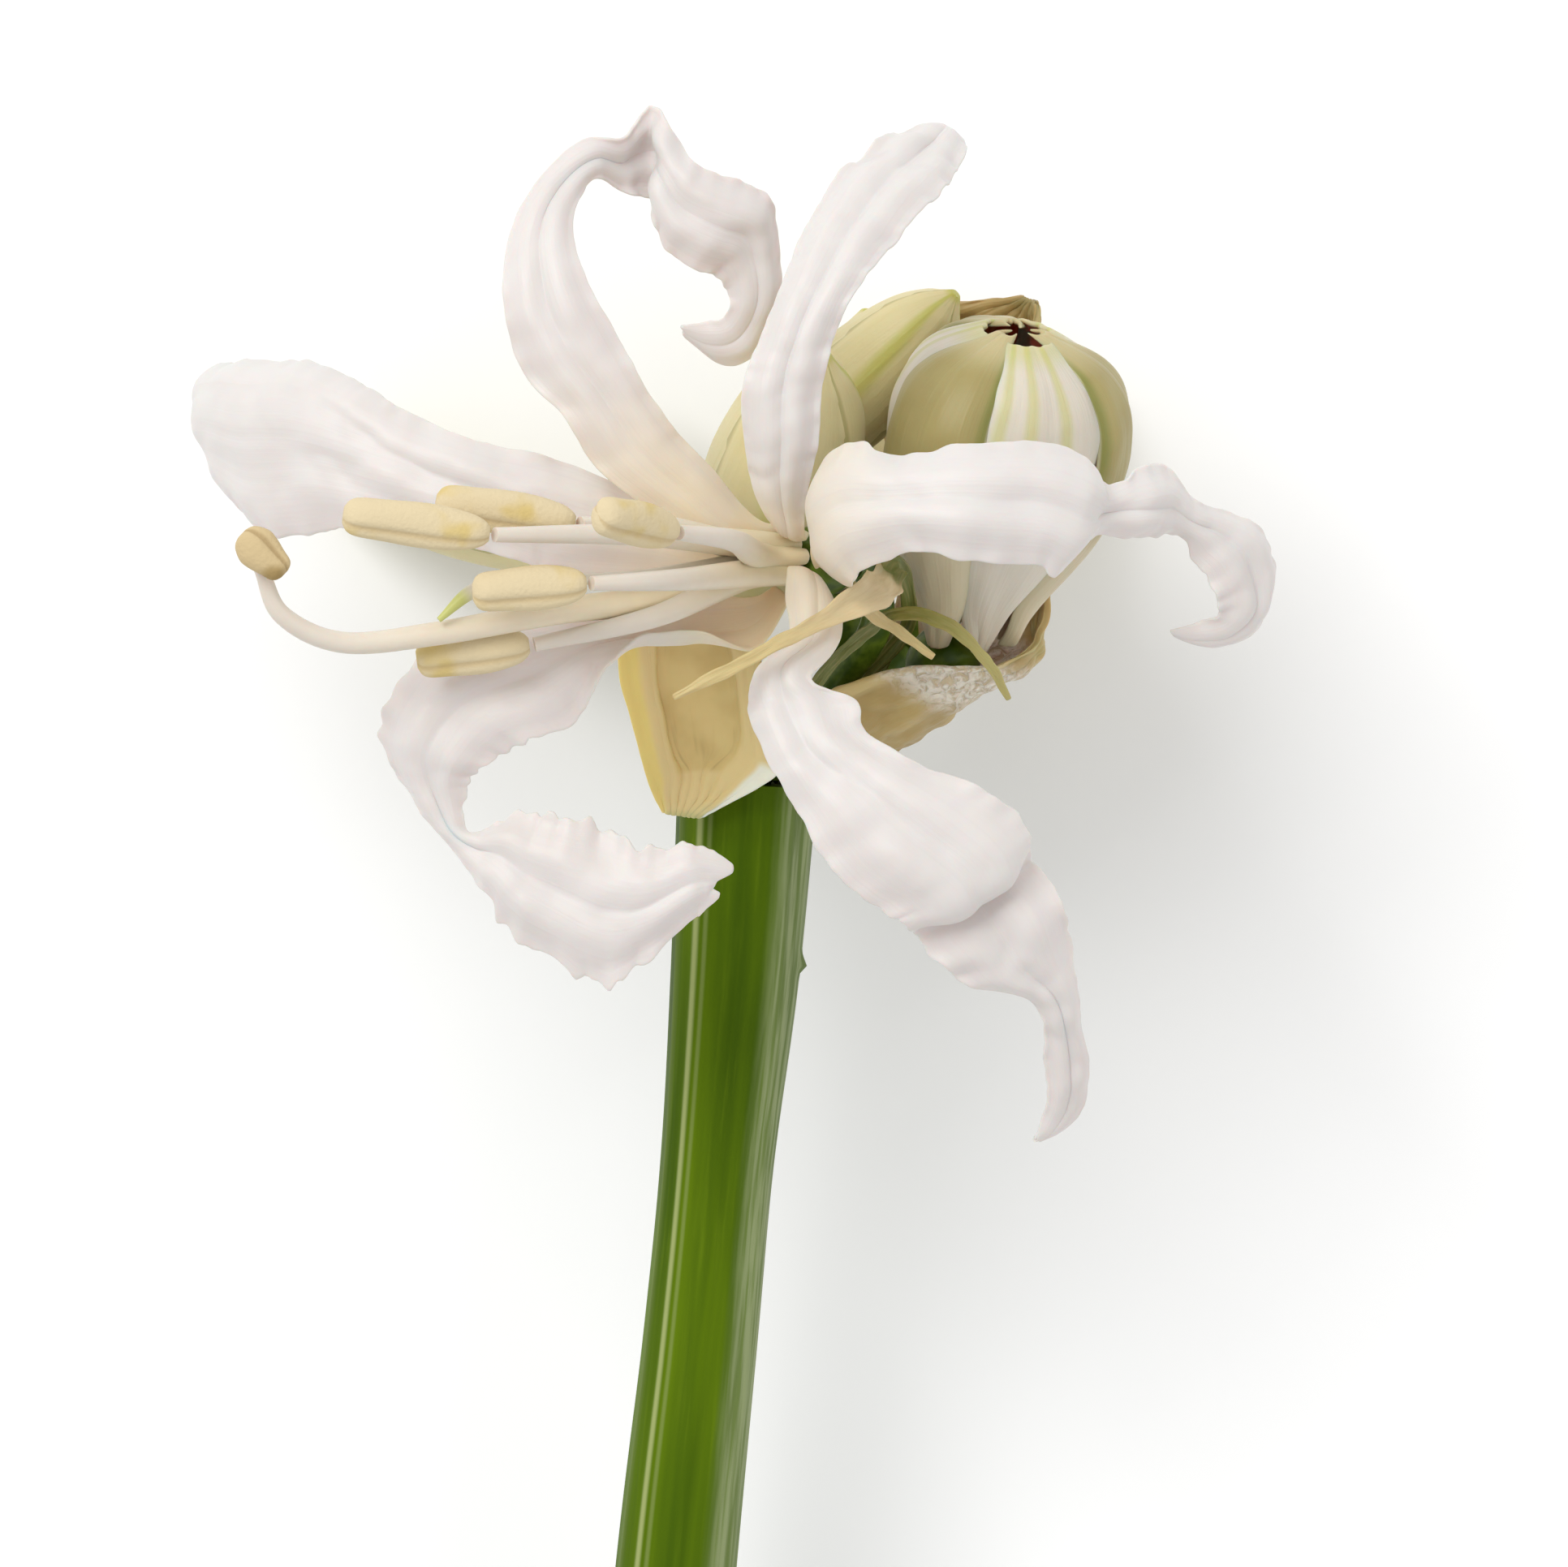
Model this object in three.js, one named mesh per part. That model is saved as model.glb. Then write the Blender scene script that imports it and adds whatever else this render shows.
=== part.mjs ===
// One cut nerine stem, laid down: a leafless scape that carries an umbel with one open flower, one half-open
// bud and six closed buds. Millimetres, +Z up, the stem along Y with its flowers towards +Y.
import * as THREE from 'three';

// Driving dimensions.
const SCAPE_TOP = new THREE.Vector3(0.1, 1.6, 26.1);
const SCAPE_TOP_DIRECTION = new THREE.Vector3(0.066, 0.995, 0.075).normalize();
const ORIGIN_SHIFT = new THREE.Vector3(1.1, 152.4, 0);
const SEAT_GAP = 0.35;
const TEPAL_THICKNESS = 0.8;
const BUD_TEPAL_THICKNESS = 0.6;
const SPATHE_THICKNESS = 0.8;
const PEDICEL_RADIUS = 1.1;
const PEDICEL_RING = 3.1;
const PEDICEL_STRAIGHT = 1.2;
const OVARY_LENGTH = 4.6;
const OVARY_RADIUS = 2.4;
const FILAMENT_FOOT_RADIUS = 0.42;
const FILAMENT_RADIUS = 0.55;
const STYLE_RADIUS = 0.4;
const STYLE_TIP_RADIUS = 0.25;
const BRACTEOLE_THICKNESS = 0.5;
const STAMEN_RING = 1.2;
const STAMEN_RISE = 4;
const STYLE_RISE = 5;
const TEPAL_RING = 2.3;
const TEPAL_BASE_WIDTH = 1.9;

// The open flower looks to the left and up from its throat.
const THROAT = new THREE.Vector3(3.2, 16.4, 46);
const FLOWER_AXIS = new THREE.Vector3(-0.75, 0, 0.66).normalize();
const FLOWER_TOP = new THREE.Vector3(0, 1, 0);
const FLOWER_RIGHT = new THREE.Vector3().crossVectors(FLOWER_TOP, FLOWER_AXIS);

// The half-open bud stands to the right, under the open flower's right tepal.
const HALF_OPEN_BASE = new THREE.Vector3(15, 11.4, 31.6);
const HALF_OPEN_TIP = new THREE.Vector3(18.6, 32.2, 40.8);

const UP = new THREE.Vector3(0, 0, 1);

const tepalWhite = new THREE.MeshStandardMaterial({ color: 0xf0ecee, roughness: 0.6, metalness: 0 });
const budCream = new THREE.MeshStandardMaterial({ color: 0xe6ddd0, roughness: 0.6, metalness: 0 });
const scapeGreen = new THREE.MeshStandardMaterial({ color: 0x4b7d0a, roughness: 0.4, metalness: 0 });
const ovaryGreen = new THREE.MeshStandardMaterial({ color: 0x3f6a10, roughness: 0.45, metalness: 0 });
const spatheTan = new THREE.MeshStandardMaterial({ color: 0xc8b978, roughness: 0.55, metalness: 0 });
const filamentCream = new THREE.MeshStandardMaterial({ color: 0xf0e8d7, roughness: 0.5, metalness: 0 });
const antherYellow = new THREE.MeshStandardMaterial({ color: 0xebdca5, roughness: 0.8, metalness: 0 });
const bracteoleCream = new THREE.MeshStandardMaterial({ color: 0xd7d796, roughness: 0.6, metalness: 0 });

const stem = new THREE.Group();
stem.position.copy(ORIGIN_SHIFT);

function addPiece(name, geometry, material) {
  const mesh = new THREE.Mesh(geometry, material);
  mesh.name = name;
  stem.add(mesh);
}

// A smooth curve through rows that start with x, y, z, and the later numbers of the rows blended along it.
function guide(rows) {
  const curve = new THREE.CatmullRomCurve3(rows.map(([x, y, z]) => new THREE.Vector3(x, y, z)));
  const value = (t, column) => {
    const place = THREE.MathUtils.clamp(t, 0, 1) * (rows.length - 1);
    const before = Math.min(Math.floor(place), rows.length - 2);
    const share = THREE.MathUtils.smoothstep(place - before, 0, 1);
    return THREE.MathUtils.lerp(rows[before][column], rows[before + 1][column], share);
  };
  return { curve, value };
}

// A round stalk along rows of [x, y, z, radius]. Flatness below 1 makes it thinner along its own second axis.
function stalk(rows, sides, steps, flatness = 1) {
  const { curve, value } = guide(rows);
  const geometry = new THREE.CylinderGeometry(1, 1, 1, sides, steps);
  const rings = [];
  let side = new THREE.Vector3(1, 0, 0);
  for (let i = 0; i <= steps; i += 1) {
    const t = i / steps;
    const tangent = curve.getTangent(t);
    if (i === 0 && Math.abs(tangent.x) > 0.8) side = new THREE.Vector3(0, 0, 1);
    side = side.clone().addScaledVector(tangent, -side.dot(tangent)).normalize();
    const other = new THREE.Vector3().crossVectors(tangent, side);
    rings.push({ centre: curve.getPoint(t), side, other, radius: value(t, 3) });
  }
  const position = geometry.attributes.position;
  for (let i = 0; i < position.count; i += 1) {
    const ring = rings[Math.round((position.getY(i) + 0.5) * steps)];
    const point = ring.centre.clone();
    point.addScaledVector(ring.side, position.getZ(i) * ring.radius);
    point.addScaledVector(ring.other, position.getX(i) * ring.radius * flatness);
    position.setXYZ(i, point.x, point.y, point.z);
  }
  return geometry;
}

// A sheet of even thickness over pointAt(s, t), where s runs 0 to 1 along it and t runs -1 to 1 across it.
function sheet(pointAt, thickness, along, across) {
  const geometry = new THREE.BoxGeometry(1, 2, 1, along, across, 1);
  const position = geometry.attributes.position;
  const step = 0.01;
  for (let i = 0; i < position.count; i += 1) {
    const s = position.getX(i) + 0.5;
    const t = position.getY(i);
    const alongStep = pointAt(Math.min(s + step, 1), t).sub(pointAt(Math.max(s - step, 0), t));
    const acrossStep = pointAt(s, Math.min(t + step, 1)).sub(pointAt(s, Math.max(t - step, -1)));
    const normal = new THREE.Vector3().crossVectors(alongStep, acrossStep).normalize();
    const point = pointAt(s, t).addScaledVector(normal, position.getZ(i) * thickness);
    position.setXYZ(i, point.x, point.y, point.z);
  }
  return geometry;
}

// A thin ribbon along rows of [x, y, z, width], level across.
function ribbon(rows, thickness, steps) {
  const { curve, value } = guide(rows);
  const pointAt = (s, t) => {
    const side = new THREE.Vector3().crossVectors(UP, curve.getTangent(s)).normalize();
    return curve.getPoint(s).addScaledVector(side, (t * value(s, 3)) / 2);
  };
  return sheet(pointAt, thickness, steps, 1);
}

// A strap along rows of [left margin x, y, z, right margin x, y, z, crown, crest]: crown in mm, how far it stands up
// between its margins, and crest where it stands highest, -1 at its left margin and 1 at its right one.
function strap(rows, thickness, along, across) {
  const left = new THREE.CatmullRomCurve3(rows.map(([x, y, z]) => new THREE.Vector3(x, y, z)));
  const right = new THREE.CatmullRomCurve3(rows.map(([, , , x, y, z]) => new THREE.Vector3(x, y, z)));
  const { value } = guide(rows);
  const step = 0.01;
  const middle = (s) => left.getPoint(s).lerp(right.getPoint(s), 0.5);
  const pointAt = (s, t) => {
    const leftPoint = left.getPoint(s);
    const rightPoint = right.getPoint(s);
    const tangent = middle(Math.min(s + step, 1)).sub(middle(Math.max(s - step, 0)));
    const face = rightPoint.clone().sub(leftPoint).cross(tangent).normalize();
    const crest = value(s, 7);
    const fromCrest = (t - crest) / (t < crest ? 1 + crest : 1 - crest);
    const point = leftPoint.lerp(rightPoint, (t + 1) / 2);
    return point.addScaledVector(face, value(s, 6) * (1 - fromCrest ** 2));
  };
  return sheet(pointAt, thickness, along, across);
}

// The scape: a stout, slightly curved stalk, widest at its two ends, lying on its cut end.
function addScape() {
  const rows = [
    [0.1, 1.6, 26.1, 4.8],
    [-0.8, -12, 25.1, 4.4],
    [-2, -24.7, 24, 3.9],
    [-3.2, -37.3, 22.8, 3.95],
    [-5.4, -58.4, 20.8, 4.2],
    [-10, -110, 16.4, 4.3],
    [-14.6, -170, 12, 4.4],
    [-19, -235, 8.3, 4.5],
    [-22.4, -295, 6, 4.65],
    [-25, -352, 4.8, 4.75],
  ];
  addPiece('scape', stalk(rows, 16, 30), scapeGreen);
}

// Where the pedicel at a given angle round the scape's top starts, 0 to the right and 90 on top.
function pedicelStart(degrees, ring = PEDICEL_RING) {
  const angle = THREE.MathUtils.degToRad(degrees);
  const right = new THREE.Vector3().crossVectors(SCAPE_TOP_DIRECTION, UP).normalize();
  const top = new THREE.Vector3().crossVectors(right, SCAPE_TOP_DIRECTION);
  const start = SCAPE_TOP.clone().addScaledVector(SCAPE_TOP_DIRECTION, SEAT_GAP);
  start.addScaledVector(right, Math.cos(angle) * ring);
  return start.addScaledVector(top, Math.sin(angle) * ring);
}

// A pedicel from the scape's top over one bend to an ovary, which sits under the base of its flower or bud.
function addPedicelAndOvary(name, start, bend, flowerBase, direction) {
  const ovaryTop = flowerBase.clone().addScaledVector(direction, -SEAT_GAP);
  const ovaryFoot = ovaryTop.clone().addScaledVector(direction, -OVARY_LENGTH);
  const pedicelEnd = ovaryFoot.clone().addScaledVector(direction, -SEAT_GAP);
  const rise = [0, 0.2, 0.5, 0.8, 1];
  const swell = [0.55, 0.86, 1, 0.9, 0.68];
  const ovaryRows = rise.map((share, i) => {
    const point = ovaryFoot.clone().lerp(ovaryTop, share);
    return [...point.toArray(), swell[i] * OVARY_RADIUS];
  });
  addPiece(`${name}_ovary`, stalk(ovaryRows, 10, 6), ovaryGreen);
  const beforeEnd = pedicelEnd.clone().addScaledVector(direction, -PEDICEL_STRAIGHT);
  const afterStart = start.clone().addScaledVector(SCAPE_TOP_DIRECTION, PEDICEL_STRAIGHT);
  const route = [start, afterStart, bend, beforeEnd, pedicelEnd];
  const pedicelRows = route.map((point) => [...point.toArray(), PEDICEL_RADIUS]);
  addPiece(`${name}_pedicel`, stalk(pedicelRows, 7, 10), ovaryGreen);
}

// The open flower's tepals: where each stands round the throat, 0 at the top and 90 towards the right and the
// front, and the rows of a strap that follow its base to its tip.
const OPEN_TEPALS = {
  upper: {
    azimuth: 20,
    rows: [
      [1.9, 18.8, 49, 4, 17.9, 48.6, 0.3, 0],
      [0.6, 21, 50.4, 4.1, 20.7, 49.8, 0.6, 0],
      [-0.1, 24.6, 52, 4.9, 24.4, 51.6, 0.9, 0],
      [-0.2, 28.2, 52.8, 5.3, 28.6, 52.6, 0.9, 0],
      [1, 31.4, 53, 6.4, 32.4, 53, 0.8, 0],
      [2.4, 35, 52, 8.6, 36, 52, 0.7, 0],
      [3.8, 38.6, 50, 11, 39.2, 50, 0.6, 0],
      [6, 42.2, 47, 13.2, 41.4, 47, 0.6, 0],
      [9, 44.8, 43.4, 14.4, 43, 43, 0.5, 0],
      [11.6, 46.2, 39, 15, 44.8, 38.6, 0.3, 0],
      [13.2, 46.4, 35.6, 13.8, 46, 35.6, 0, 0],
    ],
  },
  right: {
    azimuth: 80,
    rows: [
      [5, 19, 49.8, 5.2, 15.9, 49.8, 0.4, 0],
      [5.2, 23, 54.2, 6.9, 14.5, 54.4, 1.8, 0],
      [7.6, 24.3, 56.4, 8, 15.6, 56.8, 2, 0],
      [9.8, 23.3, 57.6, 11.4, 16.8, 58.8, 1.8, 0],
      [14.6, 24, 58.8, 14.4, 16.2, 59.6, 1.8, 0],
      [19.6, 24.2, 58.4, 19.2, 15.9, 58.6, 1.8, 0],
      [22.9, 23.2, 57.2, 20.9, 15.2, 57.6, 1.6, 0],
      [24.2, 21.4, 56.4, 22.8, 17.8, 56.2, 0.8, 0],
      [26.4, 22.7, 54.6, 25.6, 17.8, 54, 1.6, 0.1],
      [28.4, 22.6, 53, 27.6, 18, 52.4, 1.4, 0.1],
      [30.2, 20.4, 51.6, 29.4, 17.9, 51.2, 0.8, 0],
      [32.6, 19.7, 49.2, 30.6, 16.1, 51, 1, 0],
      [35, 18.2, 47.6, 31.4, 14.4, 50.6, 1.2, 0],
      [35.7, 15.2, 46.8, 31.8, 12.9, 49.6, 1.2, 0],
      [34.2, 11.6, 46.6, 31.2, 12.3, 48.6, 0.8, 0],
      [31.6, 10.6, 46.6, 29.9, 12.1, 47.8, 0.4, 0],
      [28.9, 11.4, 46.8, 28.8, 11.8, 47, 0, 0],
    ],
  },
  lower_right: {
    azimuth: 140,
    rows: [
      [5.4, 14.4, 49.4, 2.9, 16, 49.8, 0.4, 0],
      [6.5, 12.6, 51.6, 2.7, 13.8, 51.8, 0.8, 0],
      [6.1, 10.4, 53.6, 2.9, 11.2, 53.6, 0.6, 0],
      [4.4, 8.3, 55.6, 0.7, 9, 54.8, 0.5, 0],
      [7.4, 7, 55.8, 0.2, 6.4, 55.6, 0.8, 0.3],
      [8.2, 4.8, 56.4, 1.6, 2.8, 56.8, 1, 0.2],
      [12, 2.6, 57, 3.8, -1, 57.6, 1.2, 0],
      [16.2, 1, 57, 6.4, -5.2, 58, 1.4, 0],
      [19, -1.6, 56.4, 9.6, -7.3, 57.8, 1.5, 0],
      [19.3, -3.2, 55.8, 10.6, -8, 57.2, 1.6, 0],
      [19.5, -4, 54.4, 11.1, -8.5, 55.8, 0.2, 0],
      [21.2, -6.4, 53.8, 13, -10.6, 55.4, 0.8, 0],
      [22, -9.4, 52.4, 15, -12.2, 54, 0.8, 0],
      [22.3, -12.4, 51, 18.6, -12.9, 52.4, 0.8, 0],
      [22.7, -15.2, 49.6, 19.9, -14.4, 50.8, 0.5, 0],
      [23.2, -17.4, 48, 20.1, -17, 49.4, 0.5, 0],
      [22.9, -20, 46.6, 20.3, -19.8, 47.8, 0.4, 0],
      [21.8, -21.8, 45.8, 19.9, -21.6, 46.8, 0.2, 0],
      [20, -22.6, 45.6, 19.4, -22.7, 46, 0, 0],
    ],
  },
  lower_left: {
    azimuth: 205,
    rows: [
      [0.6, 10.4, 49.4, 0.2, 14, 47, -0.8, 0],
      [-3.2, 11.8, 51.6, -3.6, 14.4, 48.2, -2.4, 0],
      [-7.2, 11.3, 52, -7.6, 13.9, 49, -2, 0],
      [-9.8, 8.4, 51.6, -12, 12.6, 50.2, -0.6, 0],
      [-11.8, 5.2, 51.2, -17, 12, 50.4, 1, 0],
      [-15.4, 4, 51, -21.6, 10.2, 50.2, 1.2, 0],
      [-17.2, 2.8, 50.8, -24.4, 6, 49.8, 1.2, 0],
      [-18.5, 1.6, 50.2, -24, 3, 49.4, 0.8, 0],
      [-18.8, 0, 49.6, -22.6, 0.6, 49, 0.5, 0],
      [-18.7, -1.7, 49.4, -20.8, -1.8, 49, 0.4, 0],
      [-17.4, -1.6, 49.8, -18.8, -4.2, 49.2, 0.4, 0],
      [-15.2, -0.5, 50.4, -17.2, -6.4, 49.6, 0.8, 0],
      [-13.4, -0.8, 50.6, -16, -8.4, 49.6, 1, 0],
      [-11.2, -0.9, 50.8, -13, -10.6, 49.8, 1.2, 0],
      [-8.6, -1.9, 51, -9.6, -12.2, 50, 1.2, 0],
      [-6.2, -2.9, 51.2, -6.8, -10.6, 50.2, 1, 0],
      [-3.8, -2.8, 51.4, -3.8, -8, 50.6, 0.8, 0],
      [-2.4, -3, 51.4, -2.9, -7.3, 50.8, 0.3, 0],
      [-1.1, -3.8, 51.2, -1.6, -6.3, 50.9, 0, 0],
    ],
  },
  left: {
    azimuth: 265,
    rows: [
      [-1.6, 15.2, 45, -1.5, 18, 44.4, 0.3, 0],
      [-6.5, 15.4, 46.2, -6.6, 20.6, 45.4, 0.8, 0],
      [-12.6, 15.6, 46.8, -12.4, 23.2, 45.8, 1.2, 0],
      [-16.6, 16.8, 46.6, -18.2, 24.6, 45.6, 1.4, 0.1],
      [-21.5, 18, 45.2, -22.6, 26.4, 44, 1.6, 0.2],
      [-26.3, 18.6, 43, -25.6, 28.3, 41.6, 2.6, 0.5],
      [-29.2, 18.5, 41.2, -29, 30, 38.6, 3, 0.55],
      [-32.6, 18.3, 38.6, -32.4, 30.2, 35.4, 3.2, 0.55],
      [-34.9, 20.6, 35.6, -35.4, 30.2, 32, 2.6, 0.5],
      [-34.8, 22.4, 33, -35.8, 29.4, 29.6, 1.6, 0.2],
      [-33.4, 23.4, 29.4, -34, 28.2, 27, 0.8, 0],
      [-31.2, 24.6, 27.4, -31.2, 26.6, 26.4, 0.3, 0],
      [-29, 25.2, 27, -29, 25.6, 26.8, 0, 0],
    ],
  },
  upper_left: {
    azimuth: 322,
    rows: [
      [-2.4, 17.6, 47.4, 0.6, 19.4, 46.2, 0.3, 0],
      [-6.4, 19.8, 48.8, -2.2, 22.6, 47.4, 0.5, 0],
      [-10, 22.6, 49.6, -4.6, 25.2, 48.4, 0.6, 0],
      [-12.2, 26, 50, -6.8, 28.2, 49.4, 0.6, 0],
      [-15.2, 29.4, 49.8, -8.6, 31.6, 49.8, 0.8, 0],
      [-16.3, 34, 49.4, -10.6, 35.2, 49.8, 0.8, 0],
      [-16, 38.2, 48.2, -11.6, 38.6, 48.4, 0.8, 0],
      [-14, 42.2, 46.4, -11.1, 41, 46, 0.5, 0],
      [-10.8, 45, 44.6, -10, 42.4, 43.8, 0.3, 0],
      [-8.2, 45.2, 43.2, -8, 41.4, 42, -0.4, 0],
      [-6.6, 47.4, 42, -6.2, 41, 41, -0.6, 0],
      [-5.2, 46, 42.8, -6.2, 39.6, 42.4, 0.6, 0],
      [-3.4, 43.4, 43, -5.4, 37.6, 42.6, 1, 0],
      [-0.8, 42.4, 42.6, -3.6, 36.3, 42.4, 1.2, 0],
      [1.6, 41.4, 41.6, -2, 35.8, 41.8, 1, 0],
      [2.2, 38, 40.6, -1.2, 34.8, 41.2, 0.8, 0],
      [2.2, 34.4, 39.8, -1.1, 33.9, 40.8, 0.6, 0],
      [0.8, 30.8, 39, -1.6, 33, 40.2, 0.5, 0],
      [-1.6, 29.9, 38.6, -2.8, 32.8, 39.8, 0.3, 0],
      [-4.2, 31.9, 38.8, -4.4, 32.6, 39.4, 0, 0],
    ],
  },
};

// The direction out from the flower's axis at a given angle round it.
function roundThroat(degrees) {
  const angle = THREE.MathUtils.degToRad(degrees);
  const outward = FLOWER_TOP.clone().multiplyScalar(Math.cos(angle));
  return outward.addScaledVector(FLOWER_RIGHT, Math.sin(angle));
}

function addOpenFlower() {
  const bend = new THREE.Vector3(8.6, 11.4, 36.6);
  addPedicelAndOvary('open_flower', pedicelStart(72), bend, THROAT, FLOWER_AXIS);
  for (const [place, { azimuth, rows }] of Object.entries(OPEN_TEPALS)) {
    const outward = roundThroat(azimuth);
    const base = THROAT.clone().addScaledVector(outward, TEPAL_RING);
    const halfBase = new THREE.Vector3().crossVectors(FLOWER_AXIS, outward).multiplyScalar(TEPAL_BASE_WIDTH / 2);
    const leftBase = base.clone().add(halfBase);
    const rightBase = base.clone().sub(halfBase);
    const allRows = [[...leftBase.toArray(), ...rightBase.toArray(), 0.1, 0], ...rows];
    addPiece(`open_flower_tepal_${place}`, strap(allRows, TEPAL_THICKNESS, 34, 4), tepalWhite);
  }
}

// The six stamens: the points each filament passes and ends at, and the direction and length of its anther. The
// last anther lies across its filament's end, so its own foot is given.
const STAMENS = [
  { azimuth: 20, via: [[-7.2, 18, 57.6]], end: [-16.6, 17.9, 62.6], anther: [-1, 0.13, 0.1], length: 9.8 },
  { azimuth: 322, via: [[-5.6, 18.6, 53.8]], end: [-11, 18.7, 58], anther: [-1, 0.15, 0.12], length: 9.4 },
  { azimuth: 75, via: [[-0.8, 17.6, 57.8]], end: [-4.4, 18, 64], anther: [-0.66, 0.14, 0.74], length: 7.6 },
  { azimuth: 135, via: [[-4.4, 15, 57.4]], end: [-10.2, 14.7, 60.6], anther: [-1, -0.08, 0.12], length: 7.6 },
  { azimuth: 205, via: [[-6, 12.6, 53.4]], end: [-14.1, 10.7, 54.6], anther: [-1, -0.13, 0.05], length: 7.6 },
  {
    azimuth: 265,
    via: [[-5, 14, 51.2], [-12.6, 12.9, 55.2], [-20.6, 11.4, 57.2], [-26.8, 10.8, 58], [-30.8, 12.6, 59.2]],
    end: [-32.2, 15.7, 59.8],
    antherFoot: [-33.4, 18, 61.6],
    anther: [0.72, -0.68, -0.02],
    length: 3.9,
  },
];

function addStamensAndStyle() {
  STAMENS.forEach((stamen, i) => {
    const foot = THROAT.clone().addScaledVector(roundThroat(stamen.azimuth), STAMEN_RING);
    const risen = foot.clone().addScaledVector(FLOWER_AXIS, STAMEN_RISE);
    const route = [foot.toArray(), risen.toArray(), ...stamen.via, stamen.end];
    const filamentRows = route.map((point, k) => [...point, k === 0 ? FILAMENT_FOOT_RADIUS : FILAMENT_RADIUS]);
    addPiece(`filament_${i + 1}`, stalk(filamentRows, 5, 14), filamentCream);
    const direction = new THREE.Vector3(...stamen.anther).normalize();
    const seated = new THREE.Vector3(...stamen.end).addScaledVector(direction, SEAT_GAP);
    const antherFoot = stamen.antherFoot ? new THREE.Vector3(...stamen.antherFoot) : seated;
    const swell = [0.5, 1.15, 1.3, 1.3, 1.15, 0.5];
    const antherRows = swell.map((radius, k) => {
      const point = antherFoot.clone().addScaledVector(direction, (stamen.length * k) / (swell.length - 1));
      return [...point.toArray(), radius];
    });
    addPiece(`anther_${i + 1}`, stalk(antherRows, 8, 6, 0.75), antherYellow);
  });
  const styleRisen = THROAT.clone().addScaledVector(FLOWER_AXIS, STYLE_RISE);
  const styleRows = [
    [...THROAT.toArray(), STYLE_RADIUS],
    [...styleRisen.toArray(), STYLE_RADIUS],
    [-8, 15.2, 53.4, STYLE_RADIUS],
    [-15.6, 15, 57, STYLE_RADIUS],
    [-18.2, 14.2, 58, STYLE_RADIUS],
    [-20.4, 12.3, 58.4, STYLE_TIP_RADIUS],
  ];
  addPiece('style', stalk(styleRows, 5, 12), filamentCream);
}

// The half-open bud: six tepals round one axis, three outer and three inner, parted only at their tips. Each ring
// gives its tepals' angles from the front towards the right, and their radius and width at each share of the axis.
const HALF_OPEN_RINGS = {
  outer: {
    angles: [94, 204, 320],
    share: [0, 0.16, 0.4, 0.6, 0.78, 0.91, 1],
    radii: [3.3, 4.6, 7.6, 8.6, 8.4, 6.4, 1.6],
    widths: [1.6, 6, 10, 11, 10.2, 8.2, 2],
  },
  inner: {
    angles: [26, 140, 262],
    share: [0, 0.16, 0.4, 0.6, 0.77, 0.88, 0.965],
    radii: [2.6, 3.6, 6.6, 7.6, 7.4, 5.8, 2],
    widths: [1.2, 5.8, 10.2, 12.2, 11.8, 9.2, 3.6],
  },
};

function addHalfOpenBud() {
  const axis = HALF_OPEN_TIP.clone().sub(HALF_OPEN_BASE);
  const direction = axis.clone().normalize();
  const bend = new THREE.Vector3(6.8, 5.2, 28.8);
  const ovaryDirection = new THREE.Vector3(0.62, 0.66, 0.4).normalize();
  addPedicelAndOvary('half_open_bud', pedicelStart(20), bend, HALF_OPEN_BASE, ovaryDirection);
  const front = UP.clone().addScaledVector(direction, -UP.dot(direction)).normalize();
  const right = new THREE.Vector3().crossVectors(direction, front);
  for (const [ring, { angles, share, radii, widths }] of Object.entries(HALF_OPEN_RINGS)) {
    angles.forEach((degrees, i) => {
      const angle = THREE.MathUtils.degToRad(degrees);
      const radial = front.clone().multiplyScalar(Math.cos(angle)).addScaledVector(right, Math.sin(angle));
      const tangential = new THREE.Vector3().crossVectors(direction, radial);
      const rows = share.map((along, k) => {
        const point = HALF_OPEN_BASE.clone().addScaledVector(axis, along).addScaledVector(radial, radii[k]);
        return [...point.toArray(), widths[k], radii[k]];
      });
      const { curve, value } = guide(rows);
      const pointAt = (s, t) => {
        const radius = value(s, 4);
        const wrap = (t * value(s, 3)) / 2 / (radius + BUD_TEPAL_THICKNESS);
        const point = curve.getPoint(s).addScaledVector(tangential, Math.sin(wrap) * radius);
        return point.addScaledVector(radial, -(1 - Math.cos(wrap)) * radius);
      };
      addPiece(`half_open_bud_tepal_${ring}_${i + 1}`, sheet(pointAt, BUD_TEPAL_THICKNESS, 12, 4), budCream);
    });
  }
}

// The closed buds: base and tip, greatest radius, the angle of their pedicel on the scape and its bend.
const CLOSED_BUDS = [
  { base: [0.8, 22.4, 23.6], tip: [14.4, 35, 31.5], radius: 3.9, angle: 0, ring: 0, bend: [-0.8, 10, 23.4] },
  { base: [-0.6, 13.6, 29.8], tip: [5.2, 30.6, 43.4], radius: 5.2, angle: 122, bend: [-2.2, 6.4, 28.2] },
  { base: [-10, 17.4, 15.2], tip: [-31, 24.4, 0.4], radius: 3.5, angle: 186, bend: [-5, 7, 22.8] },
  { base: [13.2, 14, 14.4], tip: [24.4, 31, 0.5], radius: 4.2, angle: 330, bend: [6.6, 6, 20.6] },
  { base: [-2.8, 13.4, 15.2], tip: [-9.6, 29.6, 7.2], radius: 3, angle: 236, bend: [-1.8, 5.4, 19.8] },
  { base: [6.9, 14.6, 15.6], tip: [8.4, 34.6, 10.5], radius: 3.8, angle: 284, bend: [4, 5, 19.2] },
];

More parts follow.
